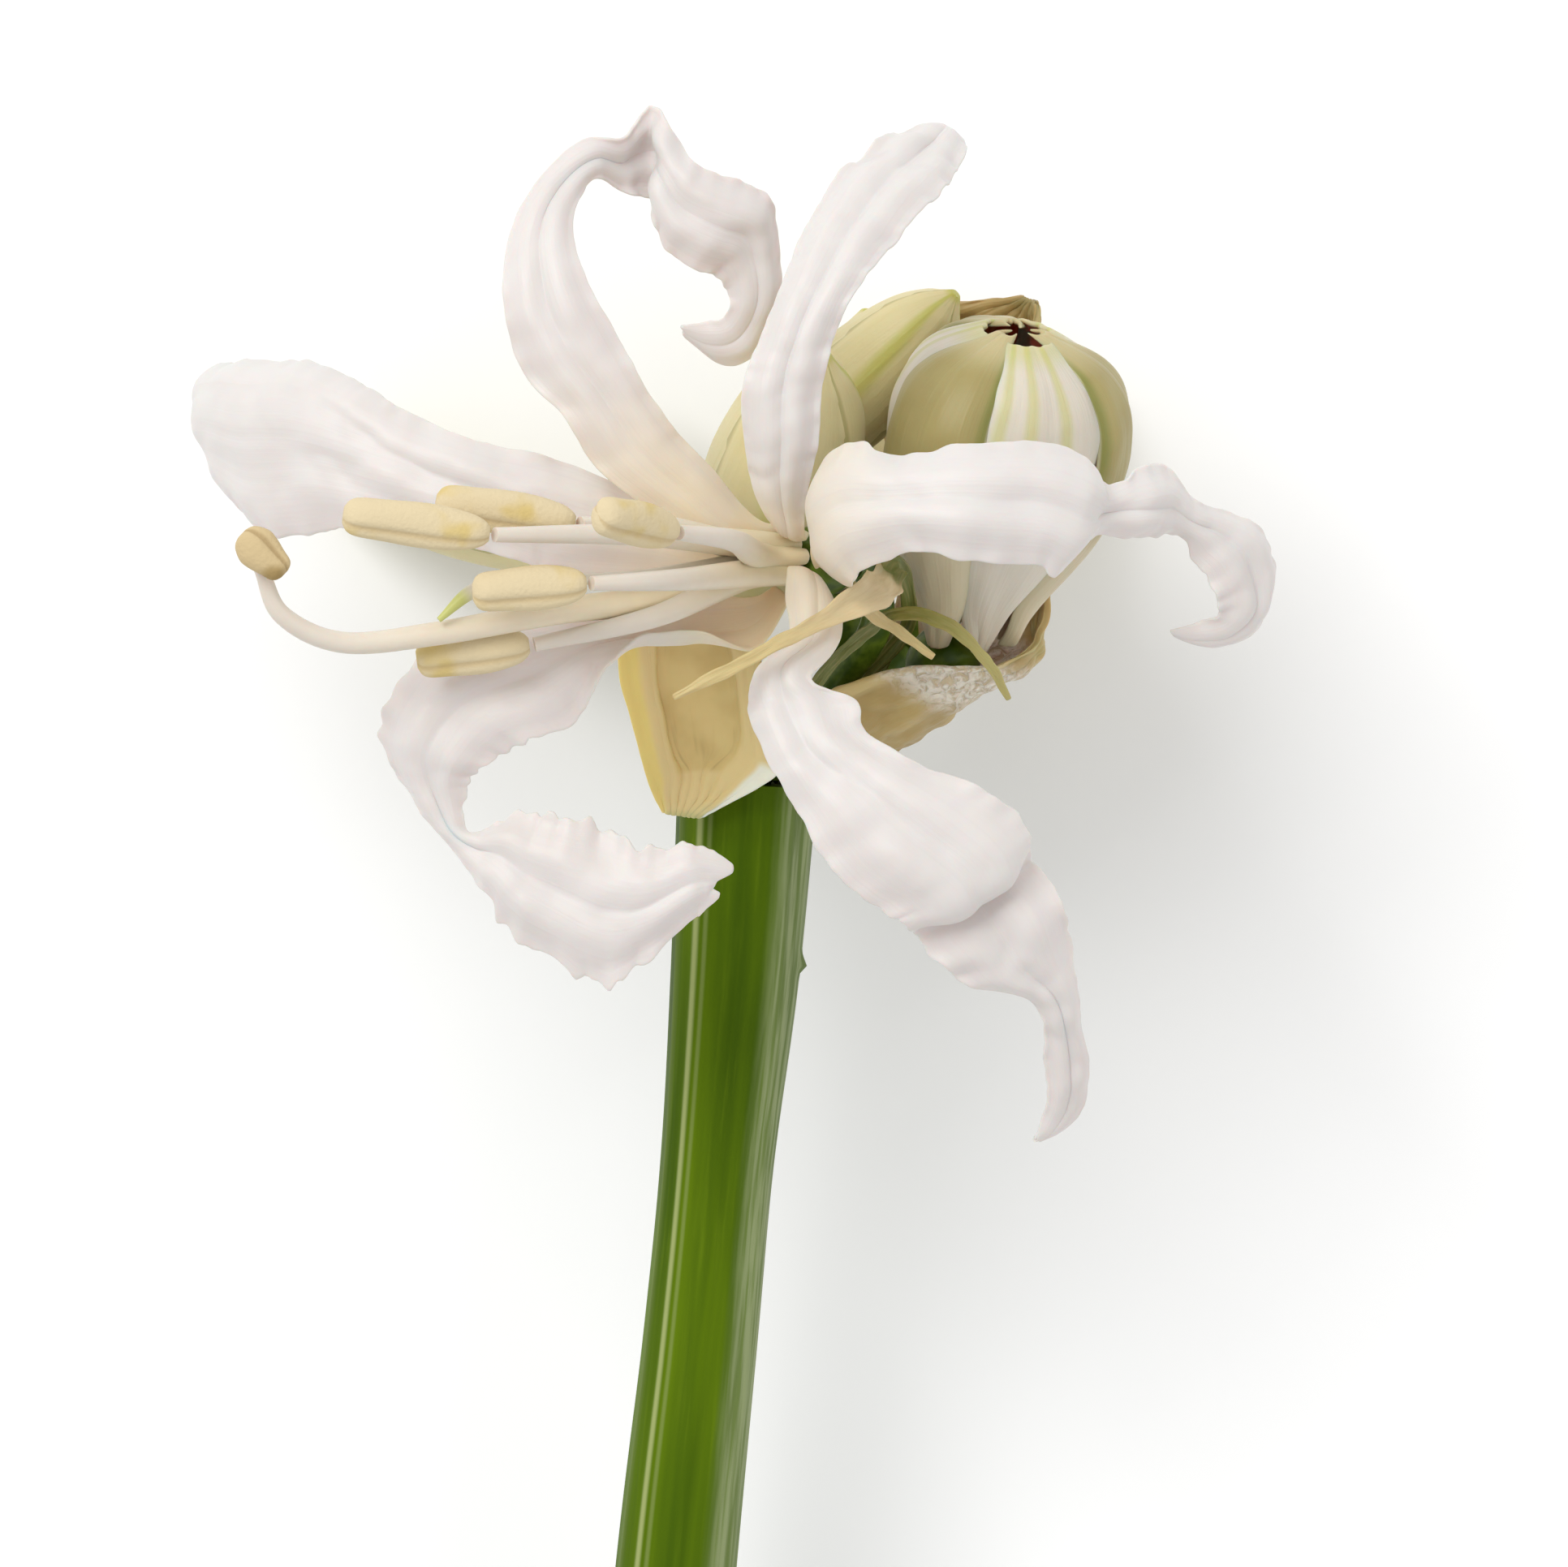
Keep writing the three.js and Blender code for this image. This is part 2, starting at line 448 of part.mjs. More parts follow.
function addClosedBuds() {
  CLOSED_BUDS.forEach((bud, i) => {
    const base = new THREE.Vector3(...bud.base);
    const tip = new THREE.Vector3(...bud.tip);
    const direction = tip.clone().sub(base).normalize();
    const name = `closed_bud_${i + 1}`;
    const bend = new THREE.Vector3(...bud.bend);
    addPedicelAndOvary(name, pedicelStart(bud.angle, bud.ring), bend, base, direction);
    const share = [0, 0.08, 0.25, 0.5, 0.75, 0.92, 1];
    const swell = [0.42, 0.62, 0.88, 1, 0.82, 0.42, 0.12];
    const rows = share.map((along, k) => {
      const point = base.clone().lerp(tip, along);
      return [...point.toArray(), swell[k] * bud.radius];
    });
    addPiece(name, stalk(rows, 12, 10), budCream);
  });
}

// The front spathe valve: a short boat, open towards the front, that stands up on the left before the pedicels.
// Each list goes across it from its left margin to its right one.
const FRONT_VALVE = [
  [[-5.6, -0.4, 31.7], [-5.1, -0.7, 31.8], [-4.6, -0.8, 31.9], [-4.1, -0.9, 31.9], [-3.6, -0.9, 32], [-3, -0.8, 32]],
  [[-6.3, 0.5, 32.6], [-5.2, 0.6, 32.6], [-4.2, 0.7, 32.4], [-3, 0.6, 32.4], [-2, 0.3, 32.8], [-1.1, 0.1, 33]],
  [[-6.8, 1.8, 33.4], [-5.1, 2, 33.4], [-4, 2.2, 32.9], [-2.6, 2.3, 32.8], [-0.9, 1.8, 33.5], [0.9, 1.1, 34]],
  [[-7.3, 3.6, 34.4], [-5.5, 3.5, 34.3], [-4.7, 3.5, 33.5], [-1.4, 3.8, 33.4], [0.2, 3.2, 34.1], [2.3, 2.3, 34.6]],
  [[-8, 6.2, 35.6], [-6, 6.1, 35.4], [-5.3, 6, 34.4], [-1.2, 5.6, 34.2], [0.4, 5, 34.9], [1.6, 4.2, 35.3]],
  [[-8.7, 9, 36.8], [-6.5, 8.9, 36.5], [-5.8, 8.9, 35.5], [-1.6, 8.7, 35.3], [0, 8.4, 35.8], [1.2, 7.8, 36.2]],
  [[-8.4, 12.6, 38], [-6.6, 12.7, 37.4], [-5.6, 12.8, 36.6], [-2.6, 12.6, 36.4], [-1, 12.4, 36.4], [0.4, 12, 36.5]],
  [[-5.8, 16.6, 39.8], [-5.6, 16.7, 39.7], [-5.4, 16.8, 39.6], [-5, 16.8, 39.5], [-4.8, 16.7, 39.4], [-4.6, 16.6, 39.4]],
];

// The back spathe valve: a broad boat that leaves the scape on its right, passes under the half-open bud and
// runs on behind the buds. Each list goes across it from its front margin to its rear margin.
const BACK_VALVE = [
  [[4.9, 0.2, 29.8], [5.6, 0.2, 28.3], [5.9, 0.2, 26.4], [5.6, 0.2, 24.4], [4.8, 0.2, 22.6]],
  [[5.2, 4.2, 34.2], [7.6, 2.8, 32], [9, 2.9, 29], [9.2, 3.6, 26.2], [8.2, 4.6, 23.6]],
  [[5.8, 7.8, 37.6], [9.6, 5.2, 35.4], [12.4, 5.1, 31], [12.9, 6.4, 26.8], [11.2, 8.6, 23]],
  [[12, 9.4, 37.8], [15, 7.9, 35], [17, 8.4, 30.6], [16, 11.4, 26], [12.2, 15.4, 22]],
  [[17.2, 9.5, 34.4], [19.3, 9.5, 32], [19.8, 10.6, 29.2], [17.4, 13.8, 25.4], [12, 18, 22]],
  [[20.4, 12.8, 29.6], [20.3, 13.6, 28], [19.2, 15.4, 26.4], [16.6, 18, 24.2], [10.6, 22, 21.4]],
  [[20.4, 25.4, 28.2], [20, 26, 26.8], [18.6, 27, 25.4], [15.2, 28.4, 23.4], [8.4, 30.4, 20.8]],
  [[20.4, 30.6, 28.6], [20.2, 31, 27.4], [19, 31.4, 26], [16.4, 32.4, 24.4], [11.6, 34.2, 23]],
  [[20, 34.4, 28], [19.8, 34.6, 27.7], [19.6, 34.7, 27.4], [19.4, 34.8, 27.1], [19.2, 34.9, 26.8]],
];

// The point at share u along a net of lists and share v along each list.
function netPoint(net, u, v) {
  const across = net.map((list) => {
    const curve = new THREE.CatmullRomCurve3(list.map((point) => new THREE.Vector3(...point)));
    return curve.getPoint(v);
  });
  return new THREE.CatmullRomCurve3(across).getPoint(u);
}

function addSpatheValves() {
  const frontPoint = (s, t) => netPoint(FRONT_VALVE, s, (t + 1) / 2);
  addPiece('spathe_valve_front', sheet(frontPoint, SPATHE_THICKNESS, 14, 6), spatheTan);
  const backPoint = (s, t) => netPoint(BACK_VALVE, s, (1 - t) / 2);
  addPiece('spathe_valve_back', sheet(backPoint, SPATHE_THICKNESS, 22, 6), spatheTan);
}

// Thread-like bracteoles that stand between the pedicels, as rows of [x, y, z, width].
const BRACTEOLES = [
  [
    [3.1, 2.5, 28.7, 0.7],
    [6.4, 6.8, 30.8, 0.9],
    [11, 12, 34.8, 1],
    [10.4, 16, 43.4, 1.2],
    [9.6, 15.2, 48.6, 2.2],
    [8.6, 14.3, 51.4, 2.8],
    [5, 12.2, 55.2, 1.2],
    [2, 10.6, 57.6, 0.9],
    [-1.4, 8.8, 58.4, 0.9],
    [-4.8, 7.1, 58.4, 0.4],
  ],
  [
    [0.6, 2.5, 31.2, 0.7],
    [2.8, 8, 37, 0.8],
    [6.6, 13.2, 46.2, 0.9],
    [9.6, 12.1, 47.6, 0.8],
    [12.7, 9.9, 47.4, 0.5],
  ],
  [
    [-4, 2.4, 27.4, 0.8],
    [-6.6, 9, 26.4, 0.9],
    [-7.8, 17, 25.4, 0.7],
    [-6.2, 22, 26.4, 0.4],
  ],
  [
    [4.3, 2.4, 25.2, 0.8],
    [9, 9, 25.4, 0.9],
    [11.4, 17, 26.4, 0.7],
    [10.4, 22, 29, 0.4],
  ],
  [
    [1.9, 2.5, 30.6, 0.7],
    [4.8, 8.2, 37.6, 0.8],
    [8.4, 11.8, 44.2, 0.9],
    [10.6, 12.9, 46.4, 0.9],
    [13.6, 12.1, 46.8, 0.9],
    [16.4, 9.6, 45.6, 0.7],
    [17.8, 7.1, 43.6, 0.4],
  ],
];

function addBracteoles() {
  BRACTEOLES.forEach((rows, i) => {
    addPiece(`bracteole_${i + 1}`, ribbon(rows, BRACTEOLE_THICKNESS, 12), bracteoleCream);
  });
}

addScape();
addSpatheValves();
addBracteoles();
addOpenFlower();
addStamensAndStyle();
addHalfOpenBud();
addClosedBuds();

export default stem;
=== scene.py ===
import bpy
import math
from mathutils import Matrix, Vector, noise


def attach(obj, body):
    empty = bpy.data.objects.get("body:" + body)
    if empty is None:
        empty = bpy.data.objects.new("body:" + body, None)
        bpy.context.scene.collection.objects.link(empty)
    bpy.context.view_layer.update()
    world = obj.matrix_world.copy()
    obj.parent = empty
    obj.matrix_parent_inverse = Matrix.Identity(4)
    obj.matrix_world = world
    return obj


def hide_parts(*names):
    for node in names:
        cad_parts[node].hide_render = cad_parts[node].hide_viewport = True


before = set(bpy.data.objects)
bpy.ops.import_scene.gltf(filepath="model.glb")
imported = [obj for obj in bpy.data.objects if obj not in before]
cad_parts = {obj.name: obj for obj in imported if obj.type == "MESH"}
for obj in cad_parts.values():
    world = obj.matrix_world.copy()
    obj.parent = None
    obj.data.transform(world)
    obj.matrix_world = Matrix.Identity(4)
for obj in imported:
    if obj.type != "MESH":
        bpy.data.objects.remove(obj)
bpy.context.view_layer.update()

# The camera looks straight down on the laid stem, as the photograph looks level at the standing one. It is set
# nearly a metre away, with a long lens, and frames the flower, its buds and the upper third of the stalk.
MM = 0.001
FLOWER_PLANE = 45 * MM
VIEW_CENTRE = Vector((3.7, 153.8, 0)) * MM
VIEW_WIDTH = 106 * MM
SENSOR_WIDTH = 36
CAMERA_LENS = 320
camera_data = bpy.data.cameras.new("flower_camera")
camera_data.lens = CAMERA_LENS
camera_data.sensor_width = SENSOR_WIDTH
camera_data.clip_start = 0.01
camera = bpy.data.objects.new("flower_camera", camera_data)
bpy.context.scene.collection.objects.link(camera)
camera_height = FLOWER_PLANE + VIEW_WIDTH * CAMERA_LENS / SENSOR_WIDTH
camera.location = (VIEW_CENTRE.x, VIEW_CENTRE.y, camera_height)
bpy.context.scene.camera = camera
bpy.context.scene.view_settings.view_transform = "Standard"

# The stem lies on a plain pale table top, under one wide soft lamp from the upper left and a weaker one from the
# right, with an even white room around it.
bpy.ops.object.select_all(action="DESELECT")
bpy.ops.mesh.primitive_plane_add(size=3, location=(0, 0, 0))
table_top = bpy.context.object
table_top.name = "table_top"
table_paint = bpy.data.materials.new("pale_table_paint")
table_paint.use_nodes = True
table_shader = table_paint.node_tree.nodes["Principled BSDF"]
table_shader.inputs["Base Color"].default_value = (0.93, 0.93, 0.93, 1)
table_shader.inputs["Roughness"].default_value = 0.9
table_shader.inputs["Specular IOR Level"].default_value = 0.1
table_top.data.materials.append(table_paint)
room = bpy.data.worlds.new("white_room")
room.use_nodes = True
room.node_tree.nodes["Background"].inputs["Color"].default_value = (1, 1, 1, 1)
room.node_tree.nodes["Background"].inputs["Strength"].default_value = 0.74
bpy.context.scene.world = room
LAMPS = [
    ("key_lamp", (-0.5, 0.75, 1.05), 0.7, 9.5),
    ("side_lamp", (0.8, 0.1, 0.8), 0.8, 1.4),
]
for lamp_name, lamp_place, lamp_size, lamp_power in LAMPS:
    lamp_data = bpy.data.lights.new(lamp_name, "AREA")
    lamp_data.size = lamp_size
    lamp_data.energy = lamp_power
    lamp = bpy.data.objects.new(lamp_name, lamp_data)
    bpy.context.scene.collection.objects.link(lamp)
    lamp.location = lamp_place
    aim = Vector((0, 0.16, 0.03)) - lamp.location
    lamp.rotation_euler = aim.to_track_quat("-Z", "Y").to_euler()

# The scape is the leafless flower stalk: solid, waxy and dark green, with fine ribs along it, painted highlight
# streaks on its left and a pale band on its right that is partly a silvery bloom and partly a painted reflection.
# It is cut square at its foot, where the pale core shows.
SCAPE_TOP_PLACE = Vector((1.1, 152.4, 0))
BUMP_DEPTH = 0.0004
SCAPE_ROWS = [
    [0.1, 1.6, 26.1, 4.8],
    [-0.8, -12, 25.1, 4.4],
    [-2, -24.7, 24, 3.9],
    [-3.2, -37.3, 22.8, 3.95],
    [-5.4, -58.4, 20.8, 4.2],
    [-10, -110, 16.4, 4.3],
    [-14.6, -170, 12, 4.4],
    [-19, -235, 8.3, 4.5],
    [-22.4, -295, 6, 4.65],
    [-25, -352, 4.8, 4.75],
]


def rows_at(rows, share):
    """The row at that share of the way along rows, blended smoothly through them."""
    place = min(max(share, 0.0), 1.0) * (len(rows) - 1)
    first = min(int(place), len(rows) - 2)
    f = place - first
    a, b = rows[first], rows[first + 1]
    before = rows[first - 1] if first > 0 else [2 * p - q for p, q in zip(a, b)]
    after = rows[first + 2] if first + 2 < len(rows) else [2 * q - p for p, q in zip(a, b)]
    return [
        q + 0.5 * f * (r - p + f * (2 * p - 5 * q + 4 * r - w + f * (3 * (q - r) + w - p)))
        for p, q, r, w in zip(before, a, b, after)
    ]


def direction_at(rows, share):
    """Which way rows run at that share of the way along them."""
    step = 0.004
    ahead = Vector(rows_at(rows, min(share + step, 1))[:3])
    return (ahead - Vector(rows_at(rows, max(share - step, 0))[:3])).normalized()


def placed(point):
    """A point measured in mm from the scape's top, in the frame's metres."""
    return (Vector(point) + SCAPE_TOP_PLACE) * MM


def set_points(piece, points):
    piece.data.vertices.foreach_set("co", [c for point in points for c in point])
    piece.data.update()


def round_piece(name, rows, sides, rings, girth=None, first_side=(0, 0, 1)):
    """A closed round piece along rows of x, y, z and radius in mm. girth(turn, share) swells it."""
    bpy.ops.object.select_all(action="DESELECT")
    bpy.ops.mesh.primitive_uv_sphere_add(segments=sides, ring_count=rings, radius=1)
    piece = bpy.context.object
    piece.name = name
    side = Vector(first_side)
    stations = []
    for k in range(rings + 1):
        share = min(max((k - 1) / (rings - 2), 0), 1)
        along = direction_at(rows, share)
        side = (side - along * side.dot(along)).normalized()
        stations.append((rows_at(rows, share), side.copy(), along.cross(side), share))
    points = []
    for vertex in piece.data.vertices:
        k = round((1 - math.acos(max(-1, min(1, vertex.co.z))) / math.pi) * rings)
        row, side, other, share = stations[k]
        turn = math.atan2(vertex.co.y, vertex.co.x)
        radius = 0 if k in (0, rings) else row[3]
        if girth:
            radius *= girth(turn, share)
        centre = Vector(row[:3])
        points.append(placed(centre + side * math.cos(turn) * radius + other * math.sin(turn) * radius))
    set_points(piece, points)
    bpy.ops.object.shade_smooth_by_angle(angle=math.radians(50))
    return piece


def new_finish(name, **settings):
    """A material with its shader's own sockets set."""
    finish = bpy.data.materials.new(name)
    finish.use_nodes = True
    shader = finish.node_tree.nodes["Principled BSDF"]
    for socket, value in settings.items():
        shader.inputs[socket.replace("_", " ")].default_value = value
    return finish, shader


def add_node(finish, kind, properties=None, **inputs):
    """A node of that kind, with its sockets set, or linked where the value is another node's socket."""
    made = finish.node_tree.nodes.new("ShaderNode" + kind)
    for key, value in (properties or {}).items():
        setattr(made, key, value)
    for key, value in inputs.items():
        socket = made.inputs[int(key[1:])] if key[1:].isdigit() else made.inputs[key.replace("_", " ")]
        if isinstance(value, bpy.types.NodeSocket):
            finish.node_tree.links.new(value, socket)
        else:
            socket.default_value = value
    return made


def calculate(finish, operation, *values):
    """A Math node's result."""
    inputs = {f"i{i}": value for i, value in enumerate(values)}
    return add_node(finish, "Math", {"operation": operation}, **inputs).outputs[0]


def smooth_range(finish, value, low, high, to_low=0.0, to_high=1.0):
    """The value brought smoothly from one range to another."""
    ranged = add_node(
        finish, "MapRange", {"interpolation_type": "SMOOTHSTEP"},
        Value=value, From_Min=low, From_Max=high, To_Min=to_low, To_Max=to_high,
    )
    return ranged.outputs["Result"]


def blend_colour(finish, share, first, second):
    """The second colour laid over the first by that share."""
    mixed = add_node(finish, "Mix", {"data_type": "RGBA"}, i0=share, i6=first, i7=second)
    return mixed.outputs[2]


def uv_parts(finish):
    """Across and along the piece, both from 0 to 1."""
    coordinates = add_node(finish, "TexCoord").outputs["UV"]
    parts = add_node(finish, "SeparateXYZ", Vector=coordinates)
    return coordinates, parts.outputs["X"], parts.outputs["Y"]


def link_finish(finish, shader, colour, height, strength):
    """The colour and a bump from the height, on the shader."""
    bump = add_node(finish, "Bump", None, Strength=strength, Distance=BUMP_DEPTH, Height=height)
    finish.node_tree.links.new(colour, shader.inputs["Base Color"])
    finish.node_tree.links.new(bump.outputs["Normal"], shader.inputs["Normal"])


def scape_girth(turn, share):
    ribs = 0.012 * math.cos(11 * turn) + 0.006 * math.cos(26 * turn + 5 * share)
    nub = 0.12 * math.exp(-(((turn + 1.5) / 0.16) ** 2) - ((share - 0.1) / 0.004) ** 2)
    return 1 + ribs + nub


scape = round_piece("flower_scape", SCAPE_ROWS, 72, 220, scape_girth)
waxy_green, shader = new_finish("waxy_green_stalk", Roughness=0.5, Specular_IOR_Level=0.06)
uv, around, along = uv_parts(waxy_green)
streak_place = add_node(waxy_green, "Mapping", None, Vector=uv, Scale=(58, 13, 1)).outputs["Vector"]
streaks = add_node(waxy_green, "TexNoise", None, Vector=streak_place, Scale=1.0, Detail=4.0).outputs["Fac"]
broad_place = add_node(waxy_green, "Mapping", None, Vector=uv, Scale=(9, 2.4, 1)).outputs["Vector"]
broad = add_node(waxy_green, "TexNoise", None, Vector=broad_place, Scale=1.0, Detail=3.0).outputs["Fac"]
colour = blend_colour(
    waxy_green, smooth_range(waxy_green, broad, 0.35, 0.7), (0.046, 0.092, 0.0008, 1), (0.1, 0.17, 0.0015, 1)
)
colour = blend_colour(
    waxy_green, smooth_range(waxy_green, streaks, 0.5, 0.8, 0, 0.22), colour, (0.16, 0.24, 0.008, 1)
)
stripes = smooth_range(waxy_green, streaks, 0.36, 0.62, 0.35, 1)
# The silvery band on the right is partly the stalk's waxy bloom and partly a painted reflection of the bright room.
bloom_and_reflection_edge = smooth_range(waxy_green, around, 0.44, 0.37)
bloom_and_reflection_share = calculate(waxy_green, "MULTIPLY", bloom_and_reflection_edge, stripes)
colour = blend_colour(waxy_green, calculate(waxy_green, "MULTIPLY", bloom_and_reflection_share, 0.62), colour, (0.38, 0.42, 0.24, 1))
# Painted highlights: pale lines along the stalk stand for light glancing off its waxy skin.
PAINTED_HIGHLIGHT_LINES = [(0.613, 0.016, 0.75), (0.583, 0.01, 0.25), (0.69, 0.03, 0.12)]
for highlight_place, half_width, strength in PAINTED_HIGHLIGHT_LINES:
    from_line = calculate(waxy_green, "ABSOLUTE", calculate(waxy_green, "SUBTRACT", around, highlight_place))
    highlight_share = smooth_range(waxy_green, from_line, half_width, half_width * 0.15, 0, strength)
    colour = blend_colour(waxy_green, highlight_share, colour, (0.38, 0.42, 0.17, 1))
cut_face = calculate(waxy_green, "GREATER_THAN", along, 0.9955)
colour = blend_colour(waxy_green, cut_face, colour, (0.42, 0.5, 0.2, 1))
link_finish(waxy_green, shader, colour, streaks, 0.12)
scape.data.materials.append(waxy_green)
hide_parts("scape")
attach(scape, "root")

# Two spathe valves sheath the umbel's foot: papery dry bracts, tan to yellow, with thick pale margins and veins
# that spread from their foot. The front one is short and open, the back one a broad boat that runs behind the buds.
FRONT_VALVE_NET = [
    [[-5.6, -0.4, 31.7], [-5.1, -0.7, 31.8], [-4.6, -0.8, 31.9], [-4.1, -0.9, 31.9], [-3.6, -0.9, 32], [-3, -0.8, 32]],
    [[-6.3, 0.5, 32.6], [-5.2, 0.6, 32.6], [-4.2, 0.7, 32.4], [-3, 0.6, 32.4], [-2, 0.3, 32.8], [-1.1, 0.1, 33]],
    [[-6.8, 1.8, 33.4], [-5.1, 2, 33.4], [-4, 2.2, 32.9], [-2.6, 2.3, 32.8], [-0.9, 1.8, 33.5], [0.9, 1.1, 34]],
    [[-7.3, 3.6, 34.4], [-5.5, 3.5, 34.3], [-4.7, 3.5, 33.5], [-1.4, 3.8, 33.4], [0.2, 3.2, 34.1], [2.3, 2.3, 34.6]],
    [[-8, 6.2, 35.6], [-6, 6.1, 35.4], [-5.3, 6, 34.4], [-1.2, 5.6, 34.2], [0.4, 5, 34.9], [1.6, 4.2, 35.3]],
    [[-8.7, 9, 36.8], [-6.5, 8.9, 36.5], [-5.8, 8.9, 35.5], [-1.6, 8.7, 35.3], [0, 8.4, 35.8], [1.2, 7.8, 36.2]],
    [[-8.4, 12.6, 38], [-6.6, 12.7, 37.4], [-5.6, 12.8, 36.6], [-2.6, 12.6, 36.4], [-1, 12.4, 36.4], [0.4, 12, 36.5]],
    [
        [-5.8, 16.6, 39.8], [-5.6, 16.7, 39.7], [-5.4, 16.8, 39.6],
        [-5, 16.8, 39.5], [-4.8, 16.7, 39.4], [-4.6, 16.6, 39.4],
    ],
]
BACK_VALVE_NET = [
    [[4.9, 0.2, 29.8], [5.6, 0.2, 28.3], [5.9, 0.2, 26.4], [5.6, 0.2, 24.4], [4.8, 0.2, 22.6]],
    [[5.2, 4.2, 34.2], [7.6, 2.8, 32], [9, 2.9, 29], [9.2, 3.6, 26.2], [8.2, 4.6, 23.6]],
    [[5.8, 7.8, 37.6], [9.6, 5.2, 35.4], [12.4, 5.1, 31], [12.9, 6.4, 26.8], [11.2, 8.6, 23]],
    [[12, 9.4, 37.8], [15, 7.9, 35], [17, 8.4, 30.6], [16, 11.4, 26], [12.2, 15.4, 22]],
    [[17.2, 9.5, 34.4], [19.3, 9.5, 32], [19.8, 10.6, 29.2], [17.4, 13.8, 25.4], [12, 18, 22]],
    [[20.4, 12.8, 29.6], [20.3, 13.6, 28], [19.2, 15.4, 26.4], [16.6, 18, 24.2], [10.6, 22, 21.4]],
    [[20.4, 25.4, 28.2], [20, 26, 26.8], [18.6, 27, 25.4], [15.2, 28.4, 23.4], [8.4, 30.4, 20.8]],
    [[20.4, 30.6, 28.6], [20.2, 31, 27.4], [19, 31.4, 26], [16.4, 32.4, 24.4], [11.6, 34.2, 23]],
    [[20, 34.4, 28], [19.8, 34.6, 27.7], [19.6, 34.7, 27.4], [19.4, 34.8, 27.1], [19.2, 34.9, 26.8]],
]
VALVE_THICKNESS = 0.5


def sheet_piece(name, point_at, across, along, thickness, thin_edge=0.5):
    """A thin leaf-like piece over point_at(share, t), where t runs -1 to 1 across it, thinner at its margins."""
    bpy.ops.object.select_all(action="DESELECT")
    bpy.ops.mesh.primitive_grid_add(x_subdivisions=across, y_subdivisions=along, size=2)
    piece = bpy.context.object
    piece.name = name
    group = piece.vertex_groups.new(name="thickness")
    points = []
    for vertex in piece.data.vertices:
        t = vertex.co.x
        share = (vertex.co.y + 1) / 2
        group.add([vertex.index], 1 - (1 - thin_edge) * t * t, "REPLACE")
        points.append(placed(point_at(share, t)))
    set_points(piece, points)
    wall = piece.modifiers.new("wall", "SOLIDIFY")
    wall.thickness = thickness * MM
    wall.offset = 0
    wall.vertex_group = group.name
    rounding = piece.modifiers.new("rounding", "SUBSURF")
    rounding.levels = 1
    rounding.render_levels = 1
    for modifier in (wall.name, rounding.name):
        bpy.ops.object.modifier_apply(modifier=modifier)
    bpy.ops.object.shade_smooth()
    return piece


def net_point(net, share, t):
    """The point at that share along a net of lists and at t, -1 to 1, across them."""
    across = [rows_at(points, (t + 1) / 2) for points in net]
    return Vector(rows_at(across, share))


def valve_point(net, share, t, crumple):
    point = net_point(net, share, t)
    step = 0.02
    along = net_point(net, min(share + step, 1), t) - net_point(net, max(share - step, 0), t)
    across = net_point(net, share, min(t + step, 1)) - net_point(net, share, max(t - step, -1))
    face = across.cross(along).normalized()
    veins = 0.07 * math.cos(26 * t)
    lumps = crumple * noise.noise(point * 0.55) + 0.5 * crumple * noise.noise(point * 1.5)
    return point + face * (veins + lumps)


front_valve = sheet_piece(
    "front_spathe_valve", lambda s, t: valve_point(FRONT_VALVE_NET, s, t, 0.12), 40, 56, VALVE_THICKNESS, 1.8
)
back_valve = sheet_piece(
    "back_spathe_valve", lambda s, t: valve_point(BACK_VALVE_NET, s, t, 0.45), 56, 110, VALVE_THICKNESS, 1.3
)


def bract_finish(name, field, field_dark, rims, rim_colour, foot_reach):
    """Dry papery tissue: a blotched field, veins that spread along it, pale rims and a green foot."""
    finish, shader = new_finish(
        name, Roughness=0.45, Specular_IOR_Level=0.35, Subsurface_Weight=0.2, Subsurface_Scale=0.0015
    )
    uv, across, along = uv_parts(finish)
    vein_place = add_node(finish, "Mapping", None, Vector=uv, Scale=(13, 1.6, 1)).outputs["Vector"]
    veins = add_node(finish, "TexNoise", None, Vector=vein_place, Scale=1.0, Detail=3.0, Distortion=0.3).outputs["Fac"]
    blotch_place = add_node(finish, "TexCoord").outputs["Object"]
    blotches = add_node(finish, "TexNoise", None, Vector=blotch_place, Scale=190.0, Detail=3.0).outputs["Fac"]
    colour = blend_colour(finish, smooth_range(finish, blotches, 0.38, 0.66), field, field_dark)
    vein_share = smooth_range(finish, veins, 0.56, 0.72, 0, 0.5)
    colour = blend_colour(finish, vein_share, colour, (0.3, 0.215, 0.07, 1))
    for start, stop in rims:
        rim_share = smooth_range(finish, across, start, stop)
        colour = blend_colour(finish, rim_share, colour, rim_colour)
    colour = blend_colour(finish, smooth_range(finish, along, foot_reach, foot_reach * 0.85), colour, rim_colour)
    foot_share = smooth_range(finish, along, 0.06, 0.0, 0, 0.6)
    colour = blend_colour(finish, foot_share, colour, (0.4, 0.42, 0.16, 1))
    return finish, shader, across, along, colour, veins


front_bract, shader, across, along, colour, veins = bract_finish(
    "tan_boat_bract", (0.69, 0.54, 0.23, 1), (0.59, 0.44, 0.17, 1), [(0.27, 0.22), (0.68, 0.73)], (0.72, 0.57, 0.27, 1),
    0.32
)
margin_share = smooth_range(front_bract, across, 0.15, 0.1)
colour = blend_colour(front_bract, margin_share, colour, (0.76, 0.61, 0.2, 1))
membrane_share = calculate(
    front_bract, "MULTIPLY", smooth_range(front_bract, across, 0.86, 0.9), smooth_range(front_bract, along, 0.46, 0.4)
)
colour = blend_colour(front_bract, membrane_share, colour, (0.82, 0.81, 0.68, 1))
link_finish(front_bract, shader, colour, veins, 0.3)
back_bract, shader, across, along, colour, veins = bract_finish(
    "painted_glint_boat_bract", (0.46, 0.34, 0.13, 1), (0.38, 0.27, 0.1, 1), [(0.08, 0.03)], (0.52, 0.4, 0.17, 1), 0.12
)
